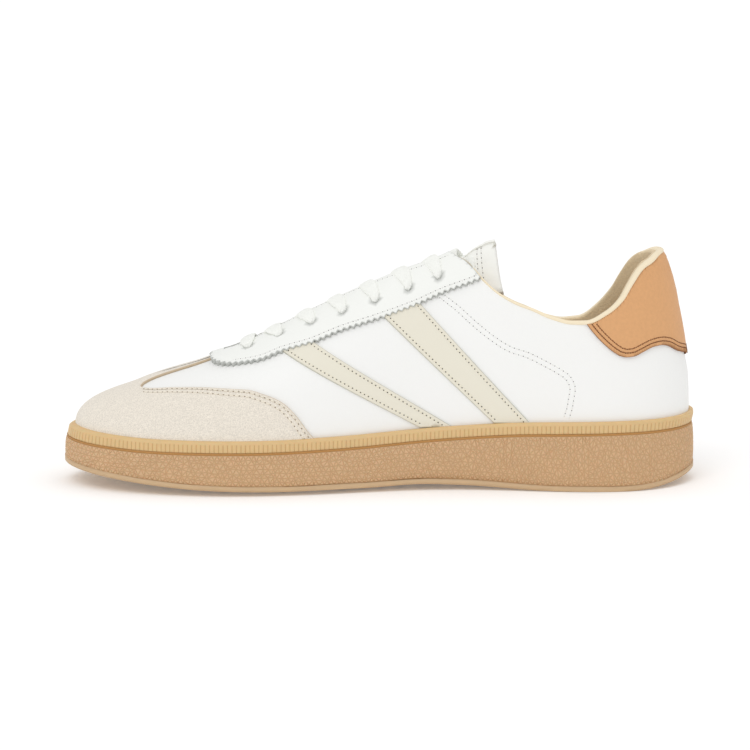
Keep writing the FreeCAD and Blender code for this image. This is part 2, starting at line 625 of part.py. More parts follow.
def tongue_point(x, y, depth):
    """A point in the tongue, depth under its face; the layers lean halfway between upright and square."""
    u, phi = place(-1 if y < crest_side(x) else 1, x, y, "y", tongue_crest)
    p = skin_point(u, phi, TONGUE_TOP, tongue_crest)
    out = p - skin_point(u, phi, TONGUE_TOP - 1.0, tongue_crest)
    ridge = Vector(tongue_crest(x - 1) - tongue_crest(x + 1), 0, 2).normalize()
    return p - (out + ridge).normalize() * depth


def tongue_layer(shallow, deep):
    grids = []
    for depth in (shallow, deep):
        rows = []
        for i in range(TONGUE_ROWS):
            row = []
            for j in range(TONGUE_COLUMNS):
                across = 2 * j / (TONGUE_COLUMNS - 1) - 1
                back = TONGUE_BACK + TONGUE_SWEEP * across ** 2
                x = TONGUE_FRONT + (back - TONGUE_FRONT) * i / (TONGUE_ROWS - 1)
                row.append(tongue_point(x, slot_centre(x) + across * TONGUE_SIDE(x), depth))
            rows.append(row)
        grids.append(rows)
    return quilt(*grids)


face_in = dim("tongue_face_thick")
foam_in = face_in + GAP + dim("tongue_foam_thick")
add("tongue_outer", tongue_layer(0.0, face_in))
add("tongue_foam", tongue_layer(face_in + GAP, foam_in))
add("tongue_lining", tongue_layer(foam_in + GAP, foam_in + GAP + dim("tongue_lining_thick")))

# ---------------------------------------------------------------- the shoelace
LACE_R = dim("lace_dia") / 2
LACE_ON_TOP = OVERLAY_OUT + LACE_R + 0.6
LACE_UNDER = LINING_IN - LACE_R - 0.15
TAIL_UNDER = LACE_UNDER - 0.5
CROSSING_HIGH, CROSSING_LOW, CROSSING_TAIL = 2.2, -2.6, -1.2
UNDER = [(0.15, LACE_UNDER), (0.31, LACE_UNDER)]
OVER = [(0.69, LACE_ON_TOP), (0.84, LACE_ON_TOP)]
MEDIAL_HOLES, LATERAL_HOLES = hole_lines()


def between(start, end, *stops):
    """Points on the way between two holes, each stop (share of the way, offset from the leather)."""
    return [at_width(start[0] + t * (end[0] - start[0]), start[1] + t * (end[1] - start[1]), offset)
            for t, offset in stops]


def into(hole):
    return [at_width(*hole, LACE_ON_TOP), at_width(*hole, LACE_UNDER)]


def chain(side):
    """One half of the cord, from the middle of the straight front bar, changing sides at every row.

    The cord goes into each hole from outside, under its own throat edge and over the far one.
    """
    rows = [MEDIAL_HOLES, LATERAL_HOLES]
    now = 0 if side < 0 else 1
    first = rows[now][0]
    bar = [(0.5, LACE_ON_TOP)] if side < 0 else []
    points = between(rows[1 - now][0], first, *bar, *OVER) + into(first)
    for k in range(len(MEDIAL_HOLES) - 1):
        centre = CROSSING_HIGH if now == 1 else CROSSING_LOW
        here, there = rows[now][k], rows[1 - now][k + 1]
        points += between(here, there, *UNDER, (0.5, centre), *OVER) + into(there)
        now = 1 - now
    last, centre = rows[now][-1], CROSSING_HIGH if now == 0 else CROSSING_TAIL
    landing = (35.5, slot_centre(35.5) + (1 if now == 0 else -1) * 10.5)
    points += between(last, landing, *UNDER, (0.5, centre), (0.74, LACE_UNDER + 0.9), (0.87, LACE_UNDER))
    tuck = 1 if now == 0 else -1
    points += [skin_point(*place(tuck, x, z), LACE_UNDER) for x, z in BEND]
    points += [skin_point(*place(tuck, x, z), TAIL_UNDER) for x, z in TAIL]
    return points


def rounded(points, radius):
    """Straight runs joined by tangent arcs."""
    edges, at = [], points[0]
    for before, corner, after in zip(points, points[1:], points[2:]):
        a, b = (before - corner), (after - corner)
        room = 0.48 * min(a.Length, b.Length)
        a.normalize()
        b.normalize()
        half = a.getAngle(b) / 2
        if half > math.radians(89.5):
            continue
        reach = min(room, radius / math.tan(half))
        start, end = corner + a * reach, corner + b * reach
        middle = (a + b).normalize()
        r = reach * math.tan(half)
        bend = corner + middle * (r / math.sin(half) - r)
        edges += [Part.makeLine(at, start), Part.Arc(start, bend, end).toShape()]
        at = end
    return Part.Wire(edges + [Part.makeLine(at, points[-1])])


def rod(path, radius):
    first = path.Edges[0]
    along = first.Vertexes[-1].Point - first.Vertexes[0].Point
    ring = Part.Wire(Part.makeCircle(radius, first.Vertexes[0].Point, along))
    return largest(path.makePipeShell([ring], True, False))


BEND, TAIL = [(38.6, 99.5), (41.8, 93.0), (46.0, 86.5)], [(51.0, 80.0), (65.0, 66.0)]
medial_chain, lateral_chain = chain(-1), chain(1)
ends = []
for run in (medial_chain, lateral_chain):
    along = (run[-1] - run[-2]).normalize()
    ends.append((run[-2] + along * 2.0, along))
    run[-1] = run[-2] + along * (2.0 - GAP)
cord_path = rounded(lateral_chain[::-1] + medial_chain, dim("lace_bend"))
cord = rod(cord_path, LACE_R)
add("shoelace", cord)
for (start, along), label in zip(ends, ("lateral", "medial")):
    add(f"aglet_{label}", Part.makeCylinder(dim("aglet_dia") / 2, dim("aglet_long"), start, along))

doc.recompute()
os.makedirs("parts", exist_ok=True)
for name, item in nodes.items():
    if item.Shape.isNull() or not item.Shape.isValid() or len(item.Shape.Solids) != 1:
        raise SystemExit(f"{name} is not one valid solid")
    if any(state in ("Invalid", "Error") for state in item.State):
        raise SystemExit(f"{name} failed to compute")
    item.Shape.exportStep(f"parts/{name}.step")
print(len(nodes), "parts")
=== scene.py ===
"""Looks of a right court shoe: suede T-toe, laced white leather upper, tan heel tab, ribbed gum cup sole.

Lengths in the tables are millimetres; meshes are made in metres. s runs round the shoe's outline from the toe
tip by the medial side, phi runs up the upper from 0 at the sole to 90 degrees at the crest.
"""
import math

import bmesh
import bpy
import numpy as np
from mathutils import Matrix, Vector
from mathutils.geometry import delaunay_2d_cdt


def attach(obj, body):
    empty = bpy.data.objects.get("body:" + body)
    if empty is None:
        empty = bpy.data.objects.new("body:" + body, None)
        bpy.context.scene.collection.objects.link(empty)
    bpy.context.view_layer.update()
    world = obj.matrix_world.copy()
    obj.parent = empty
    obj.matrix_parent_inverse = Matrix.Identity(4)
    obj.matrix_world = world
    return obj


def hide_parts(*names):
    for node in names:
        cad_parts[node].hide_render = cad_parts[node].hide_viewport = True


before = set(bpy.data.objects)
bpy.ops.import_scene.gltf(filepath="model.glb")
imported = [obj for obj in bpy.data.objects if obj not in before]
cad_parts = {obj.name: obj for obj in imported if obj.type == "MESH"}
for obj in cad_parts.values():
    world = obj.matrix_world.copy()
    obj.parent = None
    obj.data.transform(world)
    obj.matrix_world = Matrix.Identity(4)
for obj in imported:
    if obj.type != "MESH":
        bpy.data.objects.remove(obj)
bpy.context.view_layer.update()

rng = np.random.default_rng(11)
MM = 0.001
HALF_PI = math.pi / 2

# ---------------------------------------------------------------- the last shape
LAST_OUTLINE = [(-141.3, -11), (-134, -26), (-115, -38.5), (-72, -47.3), (-30, -43), (22, -32.5), (65, -34),
                (108, -37), (134.5, -26), (145.2, -4), (135, 19), (108, 31), (60, 34.5), (5, 41),
                (-38, 47.3), (-80, 43), (-112, 30.5), (-133, 11)]
SOLE_TOP = [(-150, 28.4), (-130, 26.7), (-100, 25.5), (-60, 25.4), (-20, 26.3), (30, 29.4), (70, 31.8),
            (110, 32.7), (150, 33.0)]
CREST_HEIGHT = [(-150, 47.0), (-130, 45.8), (-118, 46.4), (-108, 48.6), (-97, 51.4), (-85, 54.8), (-60, 64.8),
                (-29, 80.3), (5, 95.3), (33, 106.3), (48, 118), (62, 140), (80, 175), (150, 215)]
TONGUE_CREST = CREST_HEIGHT[:10] + [(42, 112.6), (53, 117.4), (64, 119.5), (80, 118), (104, 110), (150, 92)]
CREST_SIDE = [(-150, -11), (-120, -10), (-90, -9), (-60, -8), (0, -7), (60, -4), (150, -4)]
FULLNESS = [(-150, 2.0), (-110, 1.95), (-60, 1.85), (0, 1.8), (50, 2.1), (90, 2.5), (150, 2.6)]
SOLE_OVERHANG = [(-142, 6.7), (-100, 5.2), (-40, 4.6), (60, 4.2), (120, 3.4), (146, 2.6)]
SPINE_FRONT, SPINE_BACK, SPINE_EASE, TOE_X = -97.0, 104.0, 14.0, -141.3
EDGE_RISE = [(-150, 0.3), (-90, 0.9), (-50, 1.7), (-10, 2.4), (10, 2.2), (35, 1.0), (70, 0.4), (110, 0.2),
             (150, 0.0)]
HEEL_PULL = [(0, 0), (50, 0), (60, 0.9), (70, 1.2), (82, 1.3), (92, 0.9), (99, 0.9), (104, 1.4), (108, 3.2),
             (115, 4.5), (130, 4.5)]


def steps(table):
    """A smooth curve through rows of (x, value), with no overshoot between them."""
    xs, ys = np.array(table, float).T
    slope = np.diff(ys) / np.diff(xs)
    tangent = np.zeros(len(xs))
    tangent[0], tangent[-1] = slope[0], slope[-1]
    for i in range(1, len(xs) - 1):
        if slope[i - 1] * slope[i] > 0:
            w1 = 2 * (xs[i + 1] - xs[i]) + (xs[i] - xs[i - 1])
            w2 = (xs[i + 1] - xs[i]) + 2 * (xs[i] - xs[i - 1])
            tangent[i] = (w1 + w2) / (w1 / slope[i - 1] + w2 / slope[i])

    def value(x):
        x = np.asarray(x, float)
        near = np.clip(x, xs[0], xs[-1])
        i = np.clip(np.searchsorted(xs, near, side="right") - 1, 0, len(xs) - 2)
        wide = xs[i + 1] - xs[i]
        t = (near - xs[i]) / wide
        y = ((1 + 2 * t) * (1 - t) ** 2 * ys[i] + t * (1 - t) ** 2 * wide * tangent[i]
             + t * t * (3 - 2 * t) * ys[i + 1] + t * t * (t - 1) * wide * tangent[i + 1])
        return y + np.minimum(x - xs[0], 0) * tangent[0] + np.maximum(x - xs[-1], 0) * tangent[-1]
    return value


sole_top, crest_height, tongue_crest = steps(SOLE_TOP), steps(CREST_HEIGHT), steps(TONGUE_CREST)
crest_side, fullness, sole_overhang = steps(CREST_SIDE), steps(FULLNESS), steps(SOLE_OVERHANG)
heel_pull, edge_lift = steps(HEEL_PULL), steps(EDGE_RISE)


def ease(t):
    t = np.clip(t, 0, 1)
    return t * t * (3 - 2 * t)


def ground_clearance(x):
    x = np.asarray(x, float)
    toe = 9.4 * np.maximum(0.0, (-28 - x) / 119.5) ** 2
    arch = 1.6 * ease((x + 10) / 40) * ease((80 - x) / 45)
    return toe + arch + 6.5 * np.maximum(0.0, (x - 112) / 36) ** 2.2


def lengths(points):
    """How far along a polyline each of its points lies."""
    return np.concatenate([[0], np.cumsum(np.linalg.norm(np.diff(points, axis=0), axis=1))])


def sample(points, run, want):
    return np.stack([np.interp(want, run, points[:, k]) for k in range(points.shape[1])], -1)


def spaced(points, run, spacing):
    """Samples about that far apart, both ends kept."""
    return sample(points, run, np.linspace(0, run[-1], max(2, int(round(run[-1] / spacing)) + 1)))


def unit(v):
    return v / (np.linalg.norm(v, axis=-1, keepdims=True) + 1e-12)


def blurred(a):
    """The rows averaged with their neighbours, the ends kept."""
    a[1:-1] = (a[:-2] + 2 * a[1:-1] + a[2:]) / 4


def closed_spline(points, count):
    """Samples at even arc length of the smooth closed curve through the points."""
    p = np.array(points, float)
    n = len(p)
    h = np.linalg.norm(np.roll(p, -1, 0) - p, axis=1)
    at = np.concatenate([[0], np.cumsum(h)])
    system, right = np.zeros((n, n)), np.zeros((n, 2))
    for i in range(n):
        before, after = h[i - 1], h[i]
        system[i, i - 1] += before
        system[i, i] += 2 * (before + after)
        system[i, (i + 1) % n] += after
        right[i] = 6 * ((p[(i + 1) % n] - p[i]) / after - (p[i] - p[i - 1]) / before)
    bend = np.linalg.solve(system, right)

    def value(t):
        i = np.clip(np.searchsorted(at, t, side="right") - 1, 0, n - 1)
        j, a, b, wide = (i + 1) % n, (at[i + 1] - t)[:, None], (t - at[i])[:, None], h[i][:, None]
        return (bend[i] * a ** 3 / (6 * wide) + bend[j] * b ** 3 / (6 * wide)
                + (p[i] / wide - bend[i] * wide / 6) * a + (p[j] / wide - bend[j] * wide / 6) * b)
    fine = value(np.linspace(0, at[-1] - 1e-9, 16001))
    run = lengths(fine)
    want = np.linspace(0, run[-1], count + 1)[:-1]
    return value(np.interp(want, run, np.linspace(0, at[-1] - 1e-9, 16001)))


TRACK = closed_spline(LAST_OUTLINE, 8000)
TRACK = np.roll(TRACK, -int(np.argmin(TRACK[:, 0])), axis=0)
AROUND = float(np.linalg.norm(np.roll(TRACK, -1, 0) - TRACK, axis=1).sum())
STEP = AROUND / len(TRACK)
HEEL_S = float(np.argmax(TRACK[:, 0])) * STEP
TRACK_CLOSED = np.vstack([TRACK, TRACK[:1]])
TRACK_S = np.arange(len(TRACK) + 1) * STEP


def outline(s):
    s = np.mod(s, AROUND)
    return np.interp(s, TRACK_S, TRACK_CLOSED[:, 0]), np.interp(s, TRACK_S, TRACK_CLOSED[:, 1])


def column_s(px, side):
    """The s whose outline point has that x, on the medial (-1) or lateral (1) side."""
    k = int(round(HEEL_S / STEP))
    if side < 0:
        return np.interp(px, TRACK[:k + 1, 0], TRACK_S[:k + 1])
    back = TRACK_CLOSED[k:][::-1]
    return np.interp(px, back[:, 0], TRACK_S[k:][::-1])


def spine_x(px):
    """The x where the column that starts at px meets the crest."""
    forward = SPINE_FRONT + SPINE_EASE * np.log1p(np.exp((px - SPINE_FRONT) / SPINE_EASE))
    return SPINE_BACK - SPINE_EASE * np.log1p(np.exp((SPINE_BACK - forward) / SPINE_EASE))


def last(s, phi, crest=crest_height):
    """Points of the last, millimetres. Below phi 0 the wall runs straight down, 100 mm a radian."""
    s, phi = np.broadcast_arrays(np.asarray(s, float), np.asarray(phi, float))
    px, py = outline(s)
    up = np.clip(phi, 0, HALF_PI)
    qx = spine_x(px)
    qy = crest_side(qx)
    power = 2 / fullness(px)
    cos, sin = np.maximum(np.cos(up), 0), np.maximum(np.sin(up), 0)
    inward, upward = 1 - cos ** power, sin ** power
    x, y = px + (qx - px) * inward, py + (qy - py) * inward
    base = sole_top(px)
    z = base + (crest(x) - base) * upward
    lean = ease((px + 10) / 80) * 7.0 * (np.clip(z - base, 0, 70) / 59) ** 2 * cos ** 0.5
    lean = lean / np.hypot(qx - px, qy - py)
    x, y = x + (qx - px) * lean, y + (qy - py) * lean
    x = x - heel_pull(z) * ease((x - 112) / 20)
    return np.stack([x, y, z + np.minimum(phi, 0) * 100], -1)


def ridge_normal(x, crest):
    return unit(np.stack([crest(x - 1) - crest(x + 1), 0 * x, 2 + 0 * x], -1))


def normals(s, phi, crest=crest_height):
    s, phi = np.broadcast_arrays(np.asarray(s, float), np.asarray(phi, float))
    up = np.clip(phi, 0.0, HALF_PI)
    along = last(s + 0.8, up, crest) - last(s - 0.8, up, crest)
    rise = last(s, np.minimum(up + 0.005, HALF_PI), crest) - last(s, np.maximum(up - 0.005, 0), crest)
    n = unit(np.cross(along, rise))
    p = last(s, up, crest)
    top = ridge_normal(p[..., 0], crest)
    w = ease((up - math.radians(84)) / math.radians(5.5))[..., None]
    n = n * (1 - w) + top * w
    n[..., 2] = np.where(phi <= 1e-6, 0, n[..., 2])
    return unit(n)


def skin(s, phi, offset, crest=crest_height):
    return last(s, phi, crest) + normals(s, phi, crest) * np.asarray(offset, float)[..., None]


def find(x, value, side, axis=2, crest=crest_height):
    """(s, phi) of the last's points on one side at x with that height (axis 2) or width (axis 1)."""
    x, value = np.atleast_1d(np.asarray(x, float)), np.atleast_1d(np.asarray(value, float))
    low, high = (0.5, HEEL_S - 0.5) if side < 0 else (HEEL_S + 0.5, AROUND - 0.5)
    gs, gp = np.meshgrid(np.linspace(low, high, 160), np.radians(np.linspace(0, 89.0, 60)), indexing="ij")
    table = last(gs, gp, crest).reshape(-1, 3)[:, [0, axis]]
    pick = np.array([np.argmin((table[:, 0] - a) ** 2 + (table[:, 1] - b) ** 2) for a, b in zip(x, value)])
    s, phi = gs.ravel()[pick].copy(), gp.ravel()[pick].copy()
    goal = np.stack([x, value], -1)

    def miss(s, phi):
        return last(s, phi, crest)[:, [0, axis]] - goal
    for _ in range(14):
        f = miss(s, phi)
        fs, fp = (miss(s + 0.05, phi) - f) / 0.05, (miss(s, phi + 1e-4) - f) / 1e-4
        det = fs[:, 0] * fp[:, 1] - fp[:, 0] * fs[:, 1]
        det = np.where(np.abs(det) < 1e-9, 1e-9, det)
        step_s = np.clip((fp[:, 1] * f[:, 0] - fp[:, 0] * f[:, 1]) / det, -6, 6)
        step_phi = np.clip((fs[:, 0] * f[:, 1] - fs[:, 1] * f[:, 0]) / det, -0.2, 0.2)
        s = np.clip(s - step_s, low - 0.5, high + 0.5)
        phi = np.clip(phi - step_phi, -0.1, 1.567)
    return np.stack([s, phi], -1)


# ---------------------------------------------------------------- outlines
MEDIAL_TOPLINE = [(30.0, 108.6), (33.1, 106.1), (38.7, 104.2), (42.2, 101.6), (47.6, 95.8), (51.7, 92.2),
                  (56.4, 89.0), (64.3, 85.3), (69.4, 83.7), (79.0, 80.0), (88.1, 78.1), (94.6, 78.2),
                  (104.5, 82.7), (111.1, 88.5), (115.3, 95.2), (120.5, 102.1), (125.7, 105.4), (129.2, 107.6),
                  (138.0, 109.0)]
LATERAL_DIP = [(30, 0.0), (40, -1.4), (60, -5.8), (80, -7.6), (98, -6.4), (112, -2.0), (122, 0.0), (140, 0.0)]
STAY_NOSE = {-1: [(-78.3, -8.7), (-78.1, -13.5), (-77.0, -18.0), (-73.8, -22.5)],
             1: [(-78.3, -8.5), (-78.0, -2.0), (-76.8, 6.0), (-73.5, 13.0)]}
STAY_EDGE = [(-68.0, 56.6), (-55.5, 59.1), (-44.9, 63.2), (-31.0, 67.4), (-17.9, 72.6), (-0.4, 78.1),
             (18.4, 84.7), (28.4, 89.0), (44.9, 95.1), (46.9, 96.0)]
WING_EDGE = [(-109.6, 45.0), (-104.5, 45.4), (-94.8, 46.5), (-78.0, 47.4), (-61.6, 47.3), (-53.3, 45.5),
             (-45.0, 42.1), (-38.4, 36.0), (-33.6, 29.4), (-30.6, 25.9)]
STEM_EDGE = [(-110.0, -16.9), (-106.0, -14.6), (-98.0, -13.0), (-90.0, -11.6), (-81.0, -10.6),
             (-74.0, -10.2)]
STEM_MIDDLE = -3.6
TAB_EDGE = [(94.1, 78.2), (97.5, 73.7), (102.5, 68.4), (107.0, 64.6), (110.1, 62.7), (113.2, 62.0),
            (116.3, 62.2), (121.0, 64.1), (125.8, 66.0), (129.4, 66.4), (132.7, 65.7), (137.4, 62.8),
            (141.4, 60.7), (143.2, 59.6)]
FRONT_STRIPE = [(-46.5, 64.4), (-32.5, 69.0), (33.7, 29.0), (18.2, 29.0)]
REAR_STRIPE = [(0.2, 80.4), (17.0, 86.4), (69.5, 31.0), (52.5, 31.0)]
HEEL_SEAM = [(28.4, 88.3), (34.9, 83.6), (44, 75.8), (52.2, 69.5), (60.3, 64.9), (67.6, 62.7), (77.5, 58.1),
             (82.7, 55.3), (86.5, 52.5), (88.5, 47.6), (87.8, 42.7), (87.3, 39.2), (85.6, 33.6)]
SLOT_EDGE = [(-72.0, -8.9), (-40.0, -8.2), (0.0, -7.0), (33.0, -5.4), (60.0, -4.0)]
SLOT_CENTRE = [(-72.0, -1.2), (0.0, 0.8), (33.0, 2.0), (60.0, 3.0)]
SLOT_FRONT = -72.2
LACE_HOLES = [(-60.8, -16.9), (-46.1, -18.3), (-31.1, -19.2), (-16.8, -19.3), (-1.7, -18.4), (13.4, -16.2),
              (27.3, -13.9)]
medial_topline, lateral_dip = steps(MEDIAL_TOPLINE), steps(LATERAL_DIP)
slot_edge, slot_centre = steps(SLOT_EDGE), steps(SLOT_CENTRE)
binding_wide = steps([(30, 0.38), (50, 0.42), (62, 0.6), (78, 0.8), (92, 1.05), (112, 1.25), (134, 1.1)])


def topline(x, side):
    return medial_topline(x) + (lateral_dip(x) if side > 0 else 0)


def resample(points, spacing):
    """Points at even spacing along a smooth open curve through the given ones (any dimension)."""
    p = np.array(points, float)
    if len(p) > 2:
        at = lengths(p)
        fine = np.linspace(0, at[-1], 40 * len(p))
        p = np.stack([steps(list(zip(at, axis)))(fine) if len(set(axis)) > 1 else np.full(len(fine), axis[0])
                      for axis in p.T], -1)
    return spaced(p, lengths(p), spacing)


def even(path, spacing, offset=0.0):
    """The (s, phi) path resampled at even spacing on the surface."""
    return spaced(path, lengths(skin(*path.T, offset)), spacing)


def shifted(path, distance):
    """The (s, phi) path moved sideways on the surface, to its left as seen from outside."""
    s, phi = path.T
    t = np.gradient(skin(s, phi, 0), axis=0)
    step = unit(np.cross(normals(s, phi), t)) * np.asarray(distance, float).reshape(-1, 1)
    js = (last(s + 0.1, phi) - last(s - 0.1, phi)) / 0.2
    up, down = np.minimum(phi + 1e-3, HALF_PI), np.maximum(phi - 1e-3, -0.3)
    jp = (last(s, up) - last(s, down)) / (up - down)[:, None]
    a, b, c = (js * js).sum(1), (js * jp).sum(1), (jp * jp).sum(1)
    u, v = (js * step).sum(1), (jp * step).sum(1)
    det = a * c - b * b + 1e-9
    out = path.copy()
    out[:, 0] += (c * u - b * v) / det
    out[:, 1] = np.minimum(out[:, 1] + (a * v - b * u) / det, HALF_PI)
    return out


def ends_cut(path, start=0.0, end=0.0):
    """The path without the first and last few millimetres."""
    run = lengths(skin(*path.T, 0))
    return sample(path, run, np.linspace(start, run[-1] - end, len(path)))


# ---------------------------------------------------------------- mesh making
def linked(name, data):
    """A new object with that data, in the scene."""
    made = bpy.data.objects.new(name, data)
    bpy.context.scene.collection.objects.link(made)
    return made


def make(name, verts, faces, body="shoe", weld=0.0, smooth=True, shade=None):
    """A mesh object in metres from millimetre vertices, riding on a CAD body."""
    name = name.replace(" ", "_")
    mesh = bpy.data.meshes.new(name)
    mesh.from_pydata((np.asarray(verts) * MM).tolist(), [], [list(map(int, f)) for f in faces])
    if shade is not None:
        layer = mesh.attributes.new("shade", "FLOAT", "POINT")
        layer.data.foreach_set("value", np.asarray(shade, np.float32))
    work = bmesh.new()
    work.from_mesh(mesh)
    if weld:
        bmesh.ops.remove_doubles(work, verts=work.verts, dist=weld * MM)
        bmesh.ops.dissolve_degenerate(work, edges=work.edges, dist=1e-6)
    bmesh.ops.recalc_face_normals(work, faces=work.faces)
    work.to_mesh(mesh)
    work.free()
    if smooth:
        mesh.shade_smooth()
    piece = linked(name, mesh)
    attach(piece, body)
    return piece


def quilt(outer, inner, ring=False):
    """Vertices and faces of the solid between two grids of one size; a ring closes along its rows."""
    rows, cols = outer.shape[:2]
    verts = np.concatenate([outer.reshape(-1, 3), inner.reshape(-1, 3)])
    lift = rows * cols
    last_col = cols if ring else cols - 1
    faces = []
    for i in range(rows - 1):
        for j in range(last_col):
            k = (j + 1) % cols
            a, b, c, d = i * cols + j, i * cols + k, (i + 1) * cols + k, (i + 1) * cols + j
            faces += [(a, b, c, d), (lift + d, lift + c, lift + b, lift + a)]
    rim = [(i * cols + j, i * cols + (j + 1) % cols) for i in (0, rows - 1) for j in range(last_col)]
    if not ring:
        rim += [(i * cols + j, (i + 1) * cols + j) for j in (0, cols - 1) for i in range(rows - 1)]
    return verts, faces + [(a, b, lift + b, lift + a) for a, b in rim]


CHART = 57.0  # how many millimetres a radian of phi counts for in the flat charts
EDGE_ROUND = 0.45  # how rounded a panel's raw edge is
SEAM_DEEP, SEAM_WIDE = 0.16, 0.45  # the furrow that a stitch row presses into a panel


def chart(path):
    return np.stack([path[:, 0], path[:, 1] * CHART], -1)


def inside(points, loop):
    """Which 2-D points lie inside the closed loop."""
    x, y = points[:, 0][:, None], points[:, 1][:, None]
    x1, y1 = loop[:, 0][None], loop[:, 1][None]
    x2, y2 = np.roll(loop[:, 0], -1)[None], np.roll(loop[:, 1], -1)[None]
    cross = (y1 > y) != (y2 > y)
    with np.errstate(divide="ignore", invalid="ignore"):
        hit = x < (x2 - x1) * (y - y1) / (y2 - y1) + x1
    return (cross & hit).sum(1) % 2 == 1


def within(points, loop, holes):
    """Which 2-D points lie inside the loop and outside every hole."""
    keep = inside(points, loop)
    for hole in holes:
        keep &= ~inside(points, chart(hole))
    return keep


def nearest(points, others):
    out = np.full(len(points), 1e9)
    for i in range(0, len(points), 2000):
        block = points[i:i + 2000]
        out[i:i + 2000] = np.sqrt(((block[:, None] - others[None]) ** 2).sum(-1)).min(1)
    return out


def patch(half, holes, top, base, spacing, grooves, puff, lift):
    """One chart's part of a raised panel: vertices, faces and edge shade."""
    loop = np.concatenate([path[:-1] if len(path) > 1 else path for path, _ in half])
    real = np.concatenate([np.full(len(path) - 1, free) for path, free in half])
    flat = chart(loop)
    area = 0.5 * np.sum(flat[:, 0] * np.roll(flat[:, 1], -1) - np.roll(flat[:, 0], -1) * flat[:, 1])
    if area < 0:
        loop, real, flat = loop[::-1], np.roll(real[::-1], -1), flat[::-1]
    edge_points = np.concatenate([skin(*p.T, 0) for p in (loop[real], *holes)])
    rings = [0.13, EDGE_ROUND]
    for g in grooves:
        rings += [g - 0.55, g - 0.2, g + 0.2, g + 0.55]
    points = []
    for d in rings:
        ring = shifted(loop, d)[real | np.roll(real, 1)]
        ring = ring[inside(chart(ring), flat)]
        ring = ring[nearest(skin(*ring.T, 0), edge_points) > 0.8 * d] if len(ring) else ring
        points.append(ring[::2] if d > 0.5 else ring)
    deepest = max(rings)
    low, high = flat.min(0), flat.max(0)
    count = max(3, int((high[1] - low[1]) / spacing))
    for v in np.linspace(low[1], high[1], count + 2)[1:-1]:
        s = np.linspace(low[0], high[0], 400)
        run = lengths(last(s, np.full(400, v / CHART)))
        want = np.arange(rng.uniform(0, spacing), run[-1], spacing)
        if len(want):
            row = np.interp(want, run, s)
            points.append(np.stack([row, np.full(len(row), v / CHART)], -1))
    fill = np.concatenate(points[len(rings):])
    fill = fill[within(chart(fill), flat, holes)]
    fill = fill[nearest(skin(*fill.T, 0), edge_points) > deepest + 0.4 * spacing]
    pool = np.concatenate([loop, *holes, *points[:len(rings)], fill])
    coords, edges, at = chart(pool), [], 0
    for path in (loop, *holes):
        n = len(path)
        edges += [(at + i, at + (i + 1) % n) for i in range(n)]
        at += n
    result = delaunay_2d_cdt([Vector(p) for p in coords], edges, [], 0, 1e-5, False)
    where = np.array([tuple(v) for v in result[0]])
    tris = np.array(result[2])
    tris = tris[within(where[tris].mean(1), flat, holes)]
    s, phi = where[:, 0], np.minimum(where[:, 1] / CHART, HALF_PI)
    ground = skin(s, phi, 0)
    d = nearest(ground, edge_points)
    to_flat = 1 - np.minimum(d, EDGE_ROUND) / EDGE_ROUND
    height = top - EDGE_ROUND * (1 - np.sqrt(np.clip(1 - to_flat ** 2, 0, 1)))
    for g in grooves:
        height = height - SEAM_DEEP * np.exp(-((d - g) / SEAM_WIDE) ** 2)
    height = height + puff * ease(d / 6.0)
    if lift is not None:
        height = height + lift(ground[:, 0])
    n = normals(s, phi)
    verts = np.concatenate([ground + n * height[:, None], ground + n * base])
    count = len(where)
    faces = [tuple(t) for t in tris] + [tuple(count + t[::-1]) for t in tris]
    sides = {}
    for a, b, c in tris:
        for e in ((a, b), (b, c), (c, a)):
            key = (min(e), max(e))
            sides[key] = None if key in sides else e
    seam = chart(np.concatenate([path for path, free in half if not free])) if not real.all() else None
    for e in sides.values():
        if e is not None and (seam is None or (nearest(where[list(e)], seam) >= 1e-3).any()):
            a, b = e
            faces.append((b, a, count + a, count + b))
    shade = np.concatenate([1 - ease(d / 0.5), np.ones(count)])
    return verts, faces, shade


def panel(name, halves, holes=((), ()), top=1.3, base=0.05, spacing=2.2, grooves=(1.7,), puff=0.0,
          lift=None):
    """A flat piece laid on the leather, with rounded raw edges. A half lists (path, is a real edge)."""
    verts, faces, shade, at = [], [], [], 0
    for half, cut in zip(halves, holes):
        v, f, c = patch(half, list(cut), top, base, spacing, grooves, puff, lift)
        verts.append(v)
        faces += [tuple(at + k for k in face) for face in f]
        shade.append(c)
        at += len(v)
    return make(name, np.concatenate(verts), faces, weld=0.02 if len(halves) > 1 else 0.0,
                shade=np.concatenate(shade))


def tube_faces(count, sides):
    """The faces of a tube of that many rings, closed at both ends."""
    pairs = [(k, (k + 1) % sides) for k in range(sides)]
    faces = [(i * sides + k, i * sides + m, (i + 1) * sides + m, (i + 1) * sides + k)
             for i in range(count - 1) for k, m in pairs]
    return faces + [tuple(range(sides))[::-1], tuple((count - 1) * sides + k for k in range(sides))]


